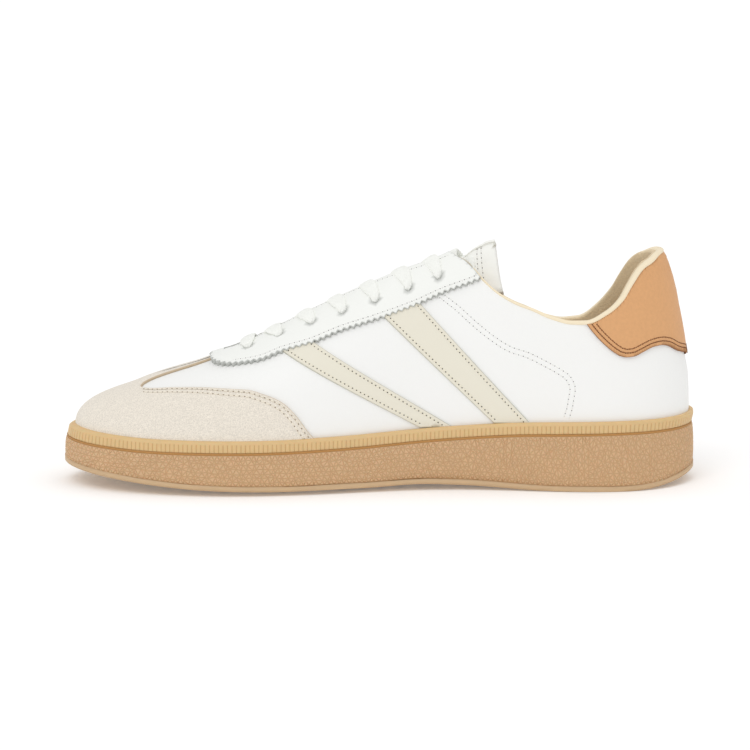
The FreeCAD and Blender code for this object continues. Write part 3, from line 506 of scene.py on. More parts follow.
def rods(name, starts, ends, lifts, radius, body="shoe", squash=0.75):
    """Many short rounded threads in one mesh, each from start to end; lifts are the surface's normals."""
    starts, ends, lifts = (np.asarray(a, float) for a in (starts, ends, lifts))
    along = ends - starts
    length = np.linalg.norm(along, axis=1, keepdims=True)
    along = along / length
    side = unit(np.cross(lifts, along))
    up = np.cross(along, side)
    rings = [(-0.5, 0.45), (-0.32, 0.9), (0.0, 1.0), (0.32, 0.9), (0.5, 0.45)]
    sides = 6
    verts, n = [], len(starts)
    middle = (starts + ends) / 2
    for t, grow in rings:
        for k in range(sides):
            a = 2 * math.pi * k / sides
            verts.append(middle + along * length * t + radius * grow * (side * math.cos(a)
                         + up * (math.sin(a) * squash)) - up * (0.5 * radius * (2 * t) ** 2))
    verts = np.stack(verts, 1)
    per, base = len(rings) * sides, tube_faces(len(rings), sides)
    faces = [tuple(at * per + k for k in face) for at in range(n) for face in base]
    return make(name, verts.reshape(-1, 3), faces, body)


def merged(runs):
    """Several rows' starts, ends and normals as three arrays."""
    return [np.concatenate([row[k] for row in runs]) for k in range(3)]


thread_runs, hole_shade_runs = {}, {}


def stitch(path, kind, offset, pitch=2.4, share=0.66, start=0.0):
    """Adds a stitch row on an (s, phi) path, with painted shade rods at its needle holes; kind picks the
    thread's colour.
    """
    dots = even(path, pitch, offset)
    if start:
        dots = even(ends_cut(path, start * pitch), pitch, offset)
    p, n = skin(*dots.T, offset), normals(*dots.T)
    a, b = p[:-1], p[1:]
    middle, half = (a + b) / 2, (b - a) / 2
    thread_runs.setdefault(kind, []).append((middle - half * share, middle + half * share, n[:-1]))
    along = (b - a) / (np.linalg.norm(b - a, axis=1, keepdims=True) + 1e-9)
    # the needle holes: short dark rods, painted shade
    hole_shade_runs.setdefault(kind, []).append((a - along * 0.33, a + along * 0.33, n[:-1]))


# ---------------------------------------------------------------- edges on the surface
def on_side(points, side, spacing=0.6, axis=2):
    """The (s, phi) path of a smooth line given by (x, z), or (x, y) with axis 1, on one side."""
    dense = resample(points, spacing)
    return find(dense[:, 0], dense[:, 1], side, axis)


def crest_s(x, side):
    """The s of the column that meets the crest at that x."""
    px = np.linspace(-141.0, 130, 4000)
    return column_s(np.interp(x, spine_x(px), px), side)


def seam_path(x_from, x_to, side, step=1.5):
    """Along the crest between two x; the same x gives matching points on both sides."""
    xs = np.linspace(x_from, x_to, max(2, int(abs(x_to - x_from) / step) + 1))
    return np.stack([crest_s(xs, side), np.full(len(xs), HALF_PI)], -1)


def toe_seam(x_to, side):
    """Along the crest from the toe column back to x_to, one side's half."""
    px = np.linspace(TOE_X, 130, 4000)
    px_end = np.interp(x_to, spine_x(px), px)
    px = TOE_X + (px_end - TOE_X) * np.linspace(0, 1, 60) ** 1.5
    s = column_s(np.maximum(px, TOE_X + 0.01), side)
    return np.stack([s, np.full(60, HALF_PI)], -1)


def line(a, b, count):
    """A straight (s, phi) path."""
    t = np.linspace(0, 1, count)[:, None]
    return np.asarray(a) * (1 - t) + np.asarray(b) * t


def collar_rim(x, count, drop):
    """The (s, phi) path along the collar's rim, lowered by drop, round the heel from x to x."""
    s = np.linspace(*(find([x], [topline(x, side) - 0.6], side)[0, 0] for side in (-1, 1)), count)
    return np.stack([s, rim_phi(s, drop)], -1)


def rim_phi(s, drop):
    """How far up its column the collar's rim lies, lowered by drop."""
    side = np.where(s < HEEL_S, -1, 1)
    low, high = np.zeros(len(s)), np.full(len(s), HALF_PI)
    for _ in range(30):
        middle = (low + high) / 2
        p = last(s, middle)
        rim_z = medial_topline(p[:, 0]) + np.where(side > 0, lateral_dip(p[:, 0]), 0) - drop
        below = p[:, 2] < rim_z
        low, high = np.where(below, middle, low), np.where(below, high, middle)
    return low


def toothed(path, pitch=2.95, depth=1.3):
    """The path with pinked teeth, cut to its right."""
    fine = even(path, 0.24)
    run = lengths(skin(*fine.T, 0))
    wave = np.abs(((run / pitch) % 1.0) * 2 - 1)
    return shifted(fine, depth * (wave - 0.5))


# ---------------------------------------------------------------- materials
def srgb(*colour):
    """A linear colour from one in 0 to 255."""
    shares = (value / 255 for value in colour)
    return tuple(c / 12.92 if c <= 0.04045 else ((c + 0.055) / 1.055) ** 2.4 for c in shares)


def tune(node, values):
    for socket, value in values.items():
        node.inputs[socket].default_value = value


def material(name, colour, rough=0.6, edge=None, nap=0.0, nap_size=0.5, bumps=(), sheen=0.0, spec=0.35,
             coat=0.0, scatter=0.0):
    """A procedural material. edge: colour where the piece's shade is 1, a raw edge's own colour on the panels
    and painted shade in the foxing's rib grooves and the side wall's channels; nap: how much fine noise
    varies the colour, its grain nap_size mm; bumps: (grain in mm, height in mm)."""
    made = bpy.data.materials.new(name)
    made.use_nodes = True
    nodes, links = made.node_tree.nodes, made.node_tree.links
    bsdf = nodes["Principled BSDF"]
    tune(bsdf, {"Roughness": rough, "Specular IOR Level": spec, "Sheen Weight": sheen, "Coat Weight": coat})
    if scatter:
        tune(bsdf, {"Subsurface Weight": scatter, "Subsurface Scale": 0.002})
    rgba = (*srgb(*colour), 1)
    where = nodes.new("ShaderNodeTexCoord")

    def feed(value, socket):
        """A colour is set in the socket; another node's output is linked to it."""
        if isinstance(value, tuple):
            socket.default_value = value
        else:
            links.new(value, socket)

    def mix(factor, a, b):
        node = nodes.new("ShaderNodeMix")
        node.data_type = "RGBA"
        for value, socket in ((factor, 0), (a, 6), (b, 7)):
            feed(value, node.inputs[socket])
        return node.outputs[2]

    def noise(size, detail):
        node = nodes.new("ShaderNodeTexNoise")
        tune(node, {"Scale": 1 / (size * MM), "Detail": detail})
        links.new(where.outputs["Object"], node.inputs["Vector"])
        return node.outputs["Fac"]

    current = rgba
    if nap:
        ramp = nodes.new("ShaderNodeMapRange")
        tune(ramp, {"From Min": 0.3, "From Max": 0.7})
        links.new(noise(nap_size, 3.0), ramp.inputs["Value"])
        dark = tuple(c * (1 - nap) for c in rgba[:3]) + (1,)
        light = tuple(min(1.0, c * (1 + 0.6 * nap)) for c in rgba[:3]) + (1,)
        current = mix(ramp.outputs["Result"], dark, light)
    # the shade attribute mixes in the edge colour: raw edges on panels, painted shade in grooves and channels
    if edge is not None:
        shade = nodes.new("ShaderNodeAttribute")
        shade.attribute_name = "shade"
        current = mix(shade.outputs["Fac"], current, (*srgb(*edge), 1))
    feed(current, bsdf.inputs["Base Color"])
    normal = None
    for size, height in bumps:
        node = nodes.new("ShaderNodeBump")
        tune(node, {"Strength": 1.0, "Distance": height * MM})
        links.new(noise(size, 2.0), node.inputs["Height"])
        if normal is not None:
            links.new(normal, node.inputs["Normal"])
        normal = node.outputs["Normal"]
    if normal is not None:
        links.new(normal, bsdf.inputs["Normal"])
    return made


white_leather = material("white leather", (246, 246, 244), 0.5, bumps=((0.9, 0.05), (9.0, 0.25)))
stay_leather = material("stay leather", (245, 246, 242), 0.55, edge=(196, 198, 194),
                        bumps=((0.8, 0.05), (7.0, 0.15)))
cream_suede = material("cream suede", (239, 231, 218), 0.95, edge=(206, 186, 158), nap=0.17, nap_size=0.55,
                       bumps=((0.35, 0.16), (1.6, 0.12), (12.0, 0.3)), sheen=0.25, spec=0.1)
cream_overlay = material("cream leather", (234, 229, 213), 0.6, edge=(202, 199, 184),
                         bumps=((0.9, 0.05), (8.0, 0.2)))
tan_leather = material("tan leather", (222, 168, 117), 0.55, edge=(150, 98, 58), nap=0.04, nap_size=1.4,
                       bumps=((0.8, 0.08), (5.0, 0.15)))
binding_leather = material("cream binding", (247, 232, 202), 0.5, bumps=((0.9, 0.05), (5.0, 0.15)))
# Its edge colour is painted shade, darker in the foxing's rib grooves.
foxing_rubber = material("foxing rubber", (221, 188, 136), 0.5, edge=(196, 152, 98), nap=0.03, nap_size=3.0,
                         bumps=((2.5, 0.05),), scatter=0.1)
# darker rubber for the groove by the foxing: painted shade
shaded_groove_rubber = material("groove rubber with painted shade", (186, 136, 78), 0.6)
# Its edge colour is painted shade, darker in the side wall's channels between the studs.
gum_rubber = material("gum rubber", (214, 178, 138), 0.55, edge=(194, 157, 116), nap=0.04, nap_size=9.0,
                      bumps=((1.2, 0.04),), scatter=0.1)
bead_rubber = material("bead rubber", (206, 175, 137), 0.5, nap=0.03, nap_size=6.0, bumps=((1.5, 0.04),))
lining_textile = material("lining textile", (226, 204, 168), 0.9, nap=0.1, nap_size=0.8,
                          bumps=((0.7, 0.25), (6.0, 0.3)), sheen=0.2, spec=0.15)
white_textile = material("white textile", (232, 228, 218), 0.9, nap=0.05, nap_size=0.8, bumps=((0.8, 0.15),))
tongue_leather = material("tongue leather", (248, 248, 243), 0.5, edge=(214, 211, 198),
                          bumps=((0.9, 0.05), (8.0, 0.5)))
lace_cotton = material("lace cotton", (250, 251, 246), 0.85, nap=0.03, nap_size=0.5, bumps=((0.35, 0.12),),
                       sheen=0.2, spec=0.2)
clear_plastic = material("clear plastic", (236, 238, 236), 0.2, coat=0.5)
board = material("stiffener board", (214, 204, 184), 0.9)
foam = material("foam", (226, 218, 196), 0.9, bumps=((1.5, 0.15),))
THREADS = {kind: material(f"{kind} thread", colour, 0.7) for kind, colour in
           (("white", (240, 240, 236)), ("cream", (240, 234, 216)), ("suede", (242, 234, 218)),
            ("brown", (142, 92, 54)))}
# Dark rods at the needle holes, one colour for each leather: painted shade in the holes.
NEEDLE_SHADE = {kind: material(f"{skin_name} needle hole shade", colour, 0.9) for kind, skin_name, colour in
          (("white", "white leather", (128, 128, 126)), ("cream", "cream leather", (98, 92, 80)),
           ("suede", "suede", (158, 140, 116)), ("brown", "tan leather", (96, 58, 32)))}


def coat_with(piece, look):
    piece.data.materials.clear()
    piece.data.materials.append(look)


def finish(piece, look, slot, *nodes):
    """Gives the piece its look and hides the CAD nodes that it replaces. The slot argument is not used."""
    coat_with(piece, look)
    if nodes:
        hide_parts(*nodes)


# ---------------------------------------------------------------- the white leather shell
LEATHER, THROAT_BACK = 1.4, 34


def shell_side(side):
    """One side's leather from the sole up to the crest, the throat or the collar."""
    low, high = (0.0, HEEL_S) if side < 0 else (HEEL_S, AROUND)
    s = np.linspace(low, high, 340)
    px, _ = outline(s)
    phi = np.radians(np.linspace(0, 90, 361))
    gs, gp = np.meshgrid(s, phi, indexing="ij")
    x, y, z = np.moveaxis(last(gs, gp), -1, 0)
    in_slot = np.abs(y - slot_centre(x)) < slot_half(x)
    mouth = (x > SLOT_FRONT) & (x < THROAT_BACK) & (gp > math.radians(40)) & in_slot
    collar = (x > 31) & (z > topline(x, side) - 0.4 - 1.0 * (x < 46))
    cut = mouth | collar
    top = np.array([phi[np.argmax(row)] if row.any() else HALF_PI for row in cut])
    for _ in range(2):
        blurred(top)
    share = np.linspace(0, 1, 70)[:, None]
    grid_phi = -0.03 + (top[None] + 0.03) * share
    grid_s = np.broadcast_to(s[None], grid_phi.shape)
    return quilt(skin(grid_s, grid_phi, 0.0), skin(grid_s, grid_phi, -LEATHER))


def slot_half(x):
    """Half the throat's width at x; its toe end is rounded."""
    t = np.clip((x - SLOT_FRONT) / 5.0, 0, 1)
    return np.abs(slot_edge(x) - slot_centre(x)) * np.sqrt(1 - (1 - t) ** 2)


for side, name in ((-1, "medial"), (1, "lateral")):
    finish(make(f"{name} quarter", *shell_side(side)), white_leather, "white_leather", f"quarter_{name}")

# ---------------------------------------------------------------- suede toe and T-stem
stem_far = [(x, 2 * STEM_MIDDLE - y) for x, y in STEM_EDGE]
FOOT_PHI = -0.02
halves = []
for side in (-1, 1):
    wing = on_side(WING_EDGE, side)
    stem = on_side(STEM_EDGE if side < 0 else stem_far, side, axis=1)
    (ax, ay, _), (bx, by, _) = (last(end[0], end[1]) for end in (wing[0], stem[0]))
    tip = on_side([(ax, ay), (ax - 1.3, (ay + by) / 2), (bx, by)], side, spacing=0.4, axis=1)
    foot = line((column_s(TOE_X, side) if side < 0 else AROUND, FOOT_PHI), (wing[-1][0], FOOT_PHI), 240)
    rise = line((wing[-1][0], FOOT_PHI), wing[-1], 6)
    across = line(stem[-1], (crest_s(-74.0, side), HALF_PI), 8)
    seam = toe_seam(-74.0, side)
    toe_s = 0.0 if side < 0 else AROUND
    front = line((toe_s, FOOT_PHI), (toe_s, HALF_PI), 50)
    # sole line back to the wing, up and forward along it, round the tip, back along the stem, over the crest
    halves.append([(foot, False), (rise, False), (wing[::-1], True), (tip, True), (stem, True),
                   (across, False), (seam[::-1], False), (front[::-1], False)])
toe = panel("suede toe", halves, spacing=2.0, grooves=(1.5, 3.8), puff=0.25)
finish(toe, cream_suede, "cream_suede", "toe_cap")
for side in (-1, 1):
    wing = on_side(WING_EDGE, side)
    for d, start in ((1.5, 0.0), (3.6, 0.5)):
        stitch(shifted(wing, side * d)[2:-1], "suede", 1.5, pitch=2.5, start=start)

# ---------------------------------------------------------------- lace stay
HOLE_R, HOLE_POINTS = 1.35, 24
hole_sets = []
far_holes = [(x, 2 * slot_centre(x) - y) for x, y in LACE_HOLES]
for side, rows in ((-1, LACE_HOLES), (1, far_holes)):
    centres = find(*np.array(rows, float).T, side, axis=1)
    loops = []
    for c in centres:
        turn = np.linspace(0, 2 * math.pi, HOLE_POINTS + 1)[:-1]
        p = np.tile(c, (HOLE_POINTS, 1))
        js = np.linalg.norm(last(c[0] + 0.5, c[1]) - last(c[0] - 0.5, c[1]))
        jp = np.linalg.norm(last(c[0], c[1] + 0.01) - last(c[0], c[1] - 0.01)) / 0.02
        p[:, 0] += HOLE_R * np.cos(turn) / js
        p[:, 1] += HOLE_R * np.sin(turn) / jp
        loops.append(p)
    hole_sets.append(loops)
halves, throat_paths, tooth_paths = [], {}, {}
for side in (-1, 1):
    edge = on_side(STAY_EDGE, side)
    nose = on_side(STAY_NOSE[side] + [(-70.2, -25.0 if side < 0 else 17.6)], side, axis=1)
    join = line(nose[-1], edge[0], 8)
    lower = tooth_paths[side] = even(np.concatenate([nose, join[1:-1], edge]), 0.5)
    teeth = toothed(lower)
    rounded = SLOT_FRONT + 5 * (1 - np.cos(np.linspace(0, HALF_PI, 14)))
    xs = np.concatenate([rounded, np.arange(-66.5, 33.4, 0.8)])
    ys = slot_centre(xs) + side * slot_half(xs)
    beyond = side * (ys - crest_side(xs)) > 0.05
    throat = throat_paths[side] = find(xs[beyond], ys[beyond], side, axis=1)
    back_x = np.linspace(36, 46.9, 12)
    back = find(back_x, topline(back_x, side) - 0.2, side)
    drop = line(back[-1], teeth[-1], 10)
    up = line(throat[-1], back[0], 6)
    seam = seam_path(-78.3, xs[beyond][0], side, 0.7)
    start = line(seam[0], teeth[0], 3)
    finish_seam = line(seam[-1], throat[0], 3)
    halves.append([(seam, False), (finish_seam, False), (throat, True), (up, True), (back, True),
                   (drop, True), (teeth[::-1], True), (start[::-1], False)])
NOSE_LIFT, STAY_THICK = 1.1, 2.0
stay = panel("throat stay", halves, holes=hole_sets, grooves=(), top=STAY_THICK,
             lift=lambda x: NOSE_LIFT * (1 - ease((x + 80) / 15)))
finish(stay, stay_leather, "white_leather", "lace_stay")
for side in (-1, 1):
    stitch(shifted(tooth_paths[side], -side * 2.1), "white", STAY_THICK, pitch=2.4)
    stitch(shifted(throat_paths[side], -1.9), "white", STAY_THICK, pitch=2.4)

# ---------------------------------------------------------------- side stripes
STRIPE_THICK = 0.95
for side, name in ((-1, "medial"), (1, "lateral")):
    for corners, place in ((FRONT_STRIPE, "front"), (REAR_STRIPE, "rear")):
        upper, right, foot, left = (on_side([a, b], side) for a, b in zip(corners, corners[1:] + corners[:1]))
        half = [(edge[::-1], True) for edge in (upper, left, foot, right)]
        band = panel(f"{place} {name} stripe", [half], puff=0.1, top=STRIPE_THICK)
        finish(band, cream_overlay, "cream_overlay", f"stripe_{place}_{name}")
        for edge, start, end in ((right, 0.8, 1.0), (left, 1.0, 0.8)):
            stitch(ends_cut(shifted(edge, side * 1.7), start, end), "cream", STRIPE_THICK, pitch=2.1)

# ---------------------------------------------------------------- heel tab
far_edge = [(x, z + float(lateral_dip(x)) * min(1, max(0, (113 - x) / 19))) for x, z in TAB_EDGE]
near, far = on_side(TAB_EDGE, -1), on_side(far_edge, 1)
near, far = near[near[:, 0] < HEEL_S - 5.0], far[far[:, 0] > HEEL_S + 5.0]
lower = np.concatenate([near, line(near[-1], far[-1], 16)[1:-1], far[::-1]])
rim = collar_rim(94.1, 160, 0.6)
around = (lower, line(lower[-1], rim[-1], 3), rim[::-1], line(rim[0], lower[0], 3))
tab = panel("tan heel tab", [[(path, True) for path in around]], grooves=(2.0, 3.8), puff=0.2)
finish(tab, tan_leather, "tan_leather", "heel_tab")
for d, start in ((1.9, 0.0), (3.7, 0.5)):
    stitch(ends_cut(shifted(even(lower, 0.8), d), 3.0, 3.0), "brown", 1.4, pitch=2.3, start=start)

# ---------------------------------------------------------------- heel seam on the quarters
for side in (-1, 1):
    path = on_side(HEEL_SEAM, side)
    for d in (-1.2, 1.2):
        stitch(shifted(path, d), "white", 0.0, pitch=2.3, start=0.0 if d < 0 else 0.5)

# ---------------------------------------------------------------- collar binding
rim = collar_rim(43.0, 420, 0.5)
face, square = skin(*rim.T, 0), normals(*rim.T)
upward = np.cross(square, unit(np.gradient(face, axis=0)))
upward *= np.sign(upward[:, 2:3])
tall = binding_wide(face[:, 0])[:, None]
proud = 0.5 + 1.15 * ease((face[:, :1] - 88) / 10)
# outline of the roll: (share of how far it stands out, extra inward offset, share of its height)
roll = [(0.55, 0.0, -1.0), (0.85, 0.0, -0.92), (1.0, 0.0, -0.6), (1.0, 0.0, -0.1), (0.75, 0.0, 0.42),
        (0.2, 0.0, 0.72), (0.0, -0.9, 0.8), (0.0, -1.9, 0.62), (0.0, -2.4, 0.1)]
strip = np.stack([face + square * (proud * out + inward) + upward * (up * tall + 0.45)
                  for out, inward, up in roll], 0)
under_strip = np.stack([face + square * (-0.2 + 0.9 * inward) + upward * (-1.0 * tall + 0.2)
                        for out, inward, up in roll], 0)
under_strip[1:-1] = strip[1:-1] * 0.35 + under_strip[1:-1] * 0.65
finish(make("collar binding", *quilt(strip, under_strip)), binding_leather, "cream_binding",
       "topline_binding")

# ---------------------------------------------------------------- collar lining, padded
share = np.linspace(0, 1, 44)[:, None]
grid_phi = rim[:, 1][None] * (1 - share)
grid_s = np.broadcast_to(rim[:, 0][None], grid_phi.shape)
pad = 2.0 * np.sin(np.pi * np.clip(share / 0.55, 0, 1)) ** 0.8 * np.ones_like(grid_phi)
inner = skin(grid_s, grid_phi, -4.4 - pad)
outer = skin(grid_s, grid_phi, -3.4 * np.ones_like(grid_phi))
# the lining rolls over the rim from behind the binding
over = [(-1.7, 0.35), (-2.2, 0.62), (-3.0, 0.75), (-3.8, 0.6), (-4.4, 0.2)]
rolled = np.stack([face + square * inward + upward * (up * tall + 0.45) for inward, up in over], 0)
behind = np.stack([face + square * (0.4 * inward - 1.2) + upward * (up * tall * 0.5 - 0.6)
                   for inward, up in over], 0)
inner, outer = np.concatenate([rolled, inner[1:]]), np.concatenate([behind, outer[1:]])
collar = make("padded collar", *quilt(outer, inner))
finish(collar, lining_textile, "tan_textile", "collar_lining", "collar_foam")

# ---------------------------------------------------------------- tongue
TONGUE_SIDE = steps([(-72, 15.0), (-50, 19.0), (-20, 21.5), (10, 22.5), (60, 22.5)])
TONGUE_TOP, TONGUE_ROWS = -8.0, (7.2, 9.2)
rows, cols = 90, 45
across = np.linspace(-1, 1, cols)[None]
teeth = 0.35 * np.abs(((across * 22.5 / 2.9) % 1.0) * 2 - 1)
back = 50.6 + 5.5 * across ** 2
along = np.linspace(0, 1, rows)[:, None]
tx = -72 + (back + 72) * along + (along > 0.999) * teeth
ty = slot_centre(tx) + across * TONGUE_SIDE(tx)
left = ty < crest_side(tx)
place = np.zeros((rows, cols, 2))
for side, mask in ((-1, left), (1, ~left)):
    place[mask] = find(tx[mask], ty[mask], side, axis=1, crest=tongue_crest)
flat = skin(place[..., 0], place[..., 1], np.full((rows, cols), TONGUE_TOP), tongue_crest)
flat[..., 2] += (4.5 * np.exp(-((flat[..., 0] - 48) / 10) ** 2) * np.exp(-((flat[..., 1] + 1) / 9) ** 2)
                 + 0.9 * np.exp(-((flat[..., 0] - 40) / 4) ** 2) * np.exp(-((flat[..., 1] + 3) / 8) ** 2))
lean = unit(normals(place[..., 0], place[..., 1], tongue_crest) + ridge_normal(tx, tongue_crest))
for _ in range(4):
    for grid in (flat, lean):
        blurred(grid)
        blurred(grid.swapaxes(0, 1))
from_end = (1 - along) * 125
rim_in = np.minimum((1 - np.abs(across)) * 22 / 5.0, 1)
cushion = 1.0 * ease(from_end / 12 - 0.55) * ease(rim_in) * ease((tx - 30) / 8)
seams = sum(np.exp(-((from_end - row) / 0.6) ** 2) for row in TONGUE_ROWS)
face = flat + lean * (cushion - 0.35 * seams * ease((tx - 20) / 10))[..., None]
thick = np.minimum(4.3 * ease(np.minimum(from_end / 7.0, 1)) * ease(rim_in) + 1.35, 4.45)[..., None]
tongue = make("padded tongue", *quilt(face, flat - lean * thick), body="tongue")
finish(tongue, tongue_leather, "tongue_leather", "tongue_outer", "tongue_foam")
under_tongue = make("tongue underside", *quilt(flat - lean * (thick + 0.05), flat - lean * (thick + 0.85)),
                    body="tongue")
finish(under_tongue, white_textile, "white_textile", "tongue_lining")
threads, gaps = [], []
for back_off in TONGUE_ROWS:
    k = np.interp(back_off, from_end[::-1, 0], np.arange(rows)[::-1])
    low = int(k)
    row = face[low] * (1 - (k - low)) + face[low + 1] * (k - low)
    run = lengths(row)
    want = np.arange(1.5, run[-1] - 1.5, 2.4)
    p, up = sample(row, run, want), sample(lean[low], run, want)[:-1]
    a, b = p[:-1] + np.diff(p, axis=0) * 0.17, p[:-1] + np.diff(p, axis=0) * 0.83
    threads.append((a, b, up))
    # between the stitches, dark rods at the needle holes: painted shade
    gaps.append((a[1:], b[:-1], up[:-1]))
for label, runs, radius, squash, look in (("stitching", threads, 0.3, 0.75, THREADS["white"]),
                                          ("needle marks", gaps, 0.26, 0.4, NEEDLE_SHADE["cream"])):
    piece = rods(f"tongue {label}", *merged(runs), radius,
                 body="tongue", squash=squash)
    finish(piece, look, "tongue_leather")

# ---------------------------------------------------------------- shoelace
def spot(x, value, side, offset, axis=2):
    """One point that far off the surface, and the surface's normal there."""
    s, phi = find([x], [value], side, axis).T
    return skin(s, phi, np.array([offset]))[0], normals(s, phi)[0]


LACE_TOP, LACE_UNDER = 2.95, -5.75
HIGH, LOW = 1.2, -2.6
lace_rows = [LACE_HOLES, far_holes]


def stops(start, end, *marks):
    """The lace's points from one hole to the next: (share of the way, offset, half width, half thickness)."""
    out = []
    for t, offset, wide, thick in marks:
        x, y = start[0] + t * (end[0] - start[0]), start[1] + t * (end[1] - start[1])
        out.append((*spot(x, y, -1 if y < crest_side(x) else 1, offset, axis=1), wide, thick))
    return out


def half_route(side):
    """One end's way: half the front bar, the crossings, then the tail tucked inside the collar."""
    now = 0 if side < 0 else 1
    first = lace_rows[now][0]
    bar = [(0.5, LACE_TOP - 0.6, 3.2, 0.95)] if side < 0 else []
    runs = [stops(lace_rows[1 - now][0], first, *bar, (0.72, LACE_TOP, 3.6, 0.95), (0.9, LACE_TOP, 3.5, 1.0),
                  (1, LACE_TOP - 0.5, 1.9, 1.15), (1, LACE_UNDER, 1.4, 1.0))]
    for k in range(len(LACE_HOLES) - 1):
        centre = HIGH if now == 1 else LOW
        runs.append(stops(lace_rows[now][k], lace_rows[1 - now][k + 1], (0.31, LACE_UNDER, 2.6, 0.8),
                          (0.5, centre, 3.1, 0.9), (0.61, 0.4, 3.4, 0.9), (0.745, LACE_TOP, 3.7, 0.95),
                          (0.9, LACE_TOP, 3.6, 1.05), (1, LACE_TOP - 0.9, 2.1, 1.15),
                          (1, LACE_UNDER, 1.4, 1.0)))
        now = 1 - now
    landing = (40.0, slot_centre(40.0) + (1 if now == 0 else -1) * 10.5)
    centre = 2.2 if now == 0 else -1.4
    tail = stops(lace_rows[now][-1], landing, (0.31, LACE_UNDER, 2.6, 0.8), (0.5, centre, 3.4, 1.2),
                 (0.72, centre - 3.4, 3.0, 0.9), (1.0, LACE_UNDER, 2.6, 0.8))
    tuck = 1 if now == 0 else -1
    for x, z in ((41.0, 93.0), (51.0, 80.0), (65.0, 66.0)):
        tail.append((*spot(x, z, tuck, LACE_UNDER), 2.0, 1.0))
    runs.append(tail)
    return runs


medial_runs, lateral_runs = half_route(-1), half_route(1)
strands = [run[::-1] for run in lateral_runs[::-1]]
strands[-1] = strands[-1] + medial_runs[0]
strands += medial_runs[1:]
marks, widths = [], []
for run in strands:
    chord = run[-1][0] - run[0][0] if len(run) < 10 else run[-2][0] - run[1][0]
    for p, n, wide, thick in run:
        w = unit(np.cross(n, chord))
        if widths and np.dot(w, widths[-1]) < 0:
            w = -w
        widths.append(w)
        marks.append((*p, wide, thick))
marks, widths = np.array(marks), np.array(widths)
curve = bpy.data.curves.new("lace line", "CURVE")
curve.dimensions = "3D"
spline = curve.splines.new("NURBS")
spline.points.add(len(marks) - 1)
for point, place3 in zip(spline.points, marks[:, :3] * MM):
    point.co = (*place3, 1)
spline.order_u, spline.use_endpoint_u, spline.resolution_u = 3, True, 24
guide = linked("lace_line", curve)
line_mesh = bpy.data.meshes.new_from_object(guide)
core = np.array([v.co[:] for v in line_mesh.vertices]) / MM
bpy.data.objects.remove(guide)
numbers, steps_u = np.arange(len(marks)), np.linspace(0, len(marks) - 1, len(core))
grow, across_w = sample(marks[:, 3:5], numbers, steps_u), sample(widths, numbers, steps_u)
run = lengths(core)
want = np.linspace(0, run[-1], int(run[-1] / 0.3))
core, grow, across_w = (sample(a, run, want) for a in (core, grow, across_w))
for _ in range(6):
    blurred(grow)
    blurred(across_w)
tangent = unit(np.gradient(core, axis=0))
across_w = unit(across_w - tangent * (across_w * tangent).sum(1, keepdims=True))
thin = np.cross(tangent, across_w)
LACE_SIDES, BRAID_DEEP, BRAID_PITCH = 28, 0.3, 1.6
rings = []
for angle in np.linspace(0, 2 * math.pi, LACE_SIDES + 1)[:-1]:
    c, sn = math.cos(angle), math.sin(angle)
    reach = np.sign(c) * abs(c) ** 0.8
    rise = np.sign(sn) * abs(sn) ** 0.9
    braid = BRAID_DEEP * np.abs(np.sin(math.pi * (want + 0.9 * abs(reach) * grow[:, 0]) / BRAID_PITCH))
    braid = (braid - BRAID_DEEP / 2)[:, None]
    wide_by, thick_by = grow[:, :1] * reach + braid * c, grow[:, 1:] * rise + braid * sn
    rings.append(core + across_w * wide_by + thin * thick_by)
tube = np.stack(rings, 1)
lace = make("laces", tube.reshape(-1, 3), tube_faces(*tube.shape[:2]))
finish(lace, lace_cotton, "lace_cotton", "shoelace")

# ---------------------------------------------------------------- cup sole
def sole_point(s, out, z):
    """The point at height z that stands out of the last's outline at s."""
    (x, y), (x1, y1), (x2, y2) = outline(s), outline(s - 0.5), outline(s + 0.5)
    long = np.hypot(x2 - x1, y2 - y1)
    return np.stack([x + (y2 - y1) / long * out, y - (x2 - x1) / long * out, z + 0 * x], -1)


smooth_s = np.linspace(0, AROUND, 900)[:-1]
px, _ = outline(smooth_s)
over, rim_z = sole_overhang(px), sole_top(px)

# The foxing: a band with fine upright grooves under a plain rounded lip.
RIB_PITCH = 2.0
count = int(round(AROUND / RIB_PITCH))
mark = np.arange(count) * AROUND / count
ribs = np.stack([mark - 0.26, mark, mark + 0.26, mark + 1.0], -1).reshape(-1)
cut_here = np.tile([0.0, 1.0, 0.0, 0.0], count)
fx, _ = outline(ribs)
o, top = sole_overhang(fx), sole_top(fx)
# (how far in from the band's face, height against the rim, how deep a rib's groove is there and how much
# painted shade colours it)
band = [(0.5, -5.5, 0), (0.12, -5.3, 0.6), (0.0, -4.9, 1), (0.0, -3.4, 1), (0.0, -1.8, 1), (0.0, -1.35, 0),
        (0.0, -0.9, 0), (0.0, -0.45, 0), (0.0, -0.12, 0), (0.35, 0.0, 0)]


def band_face(o, z):
    """How far the foxing's face stands out, z against the rim: upright, then rounded in at the lip."""
    t = np.clip((z + 5.5) / 3.5, 0, 1)
    wall = (o - 1.3) * (1 - t) + (0.6 * o + 0.6) * t
    return wall + (2.0 - wall) * np.clip((z + 2.0) / 2.0, 0, 1) ** 2.2


RIB_DEEP = 0.22
rows3 = [sole_point(ribs, band_face(o, z) - back_in - RIB_DEEP * cut * cut_here, top + z)
         for back_in, z, cut in band]
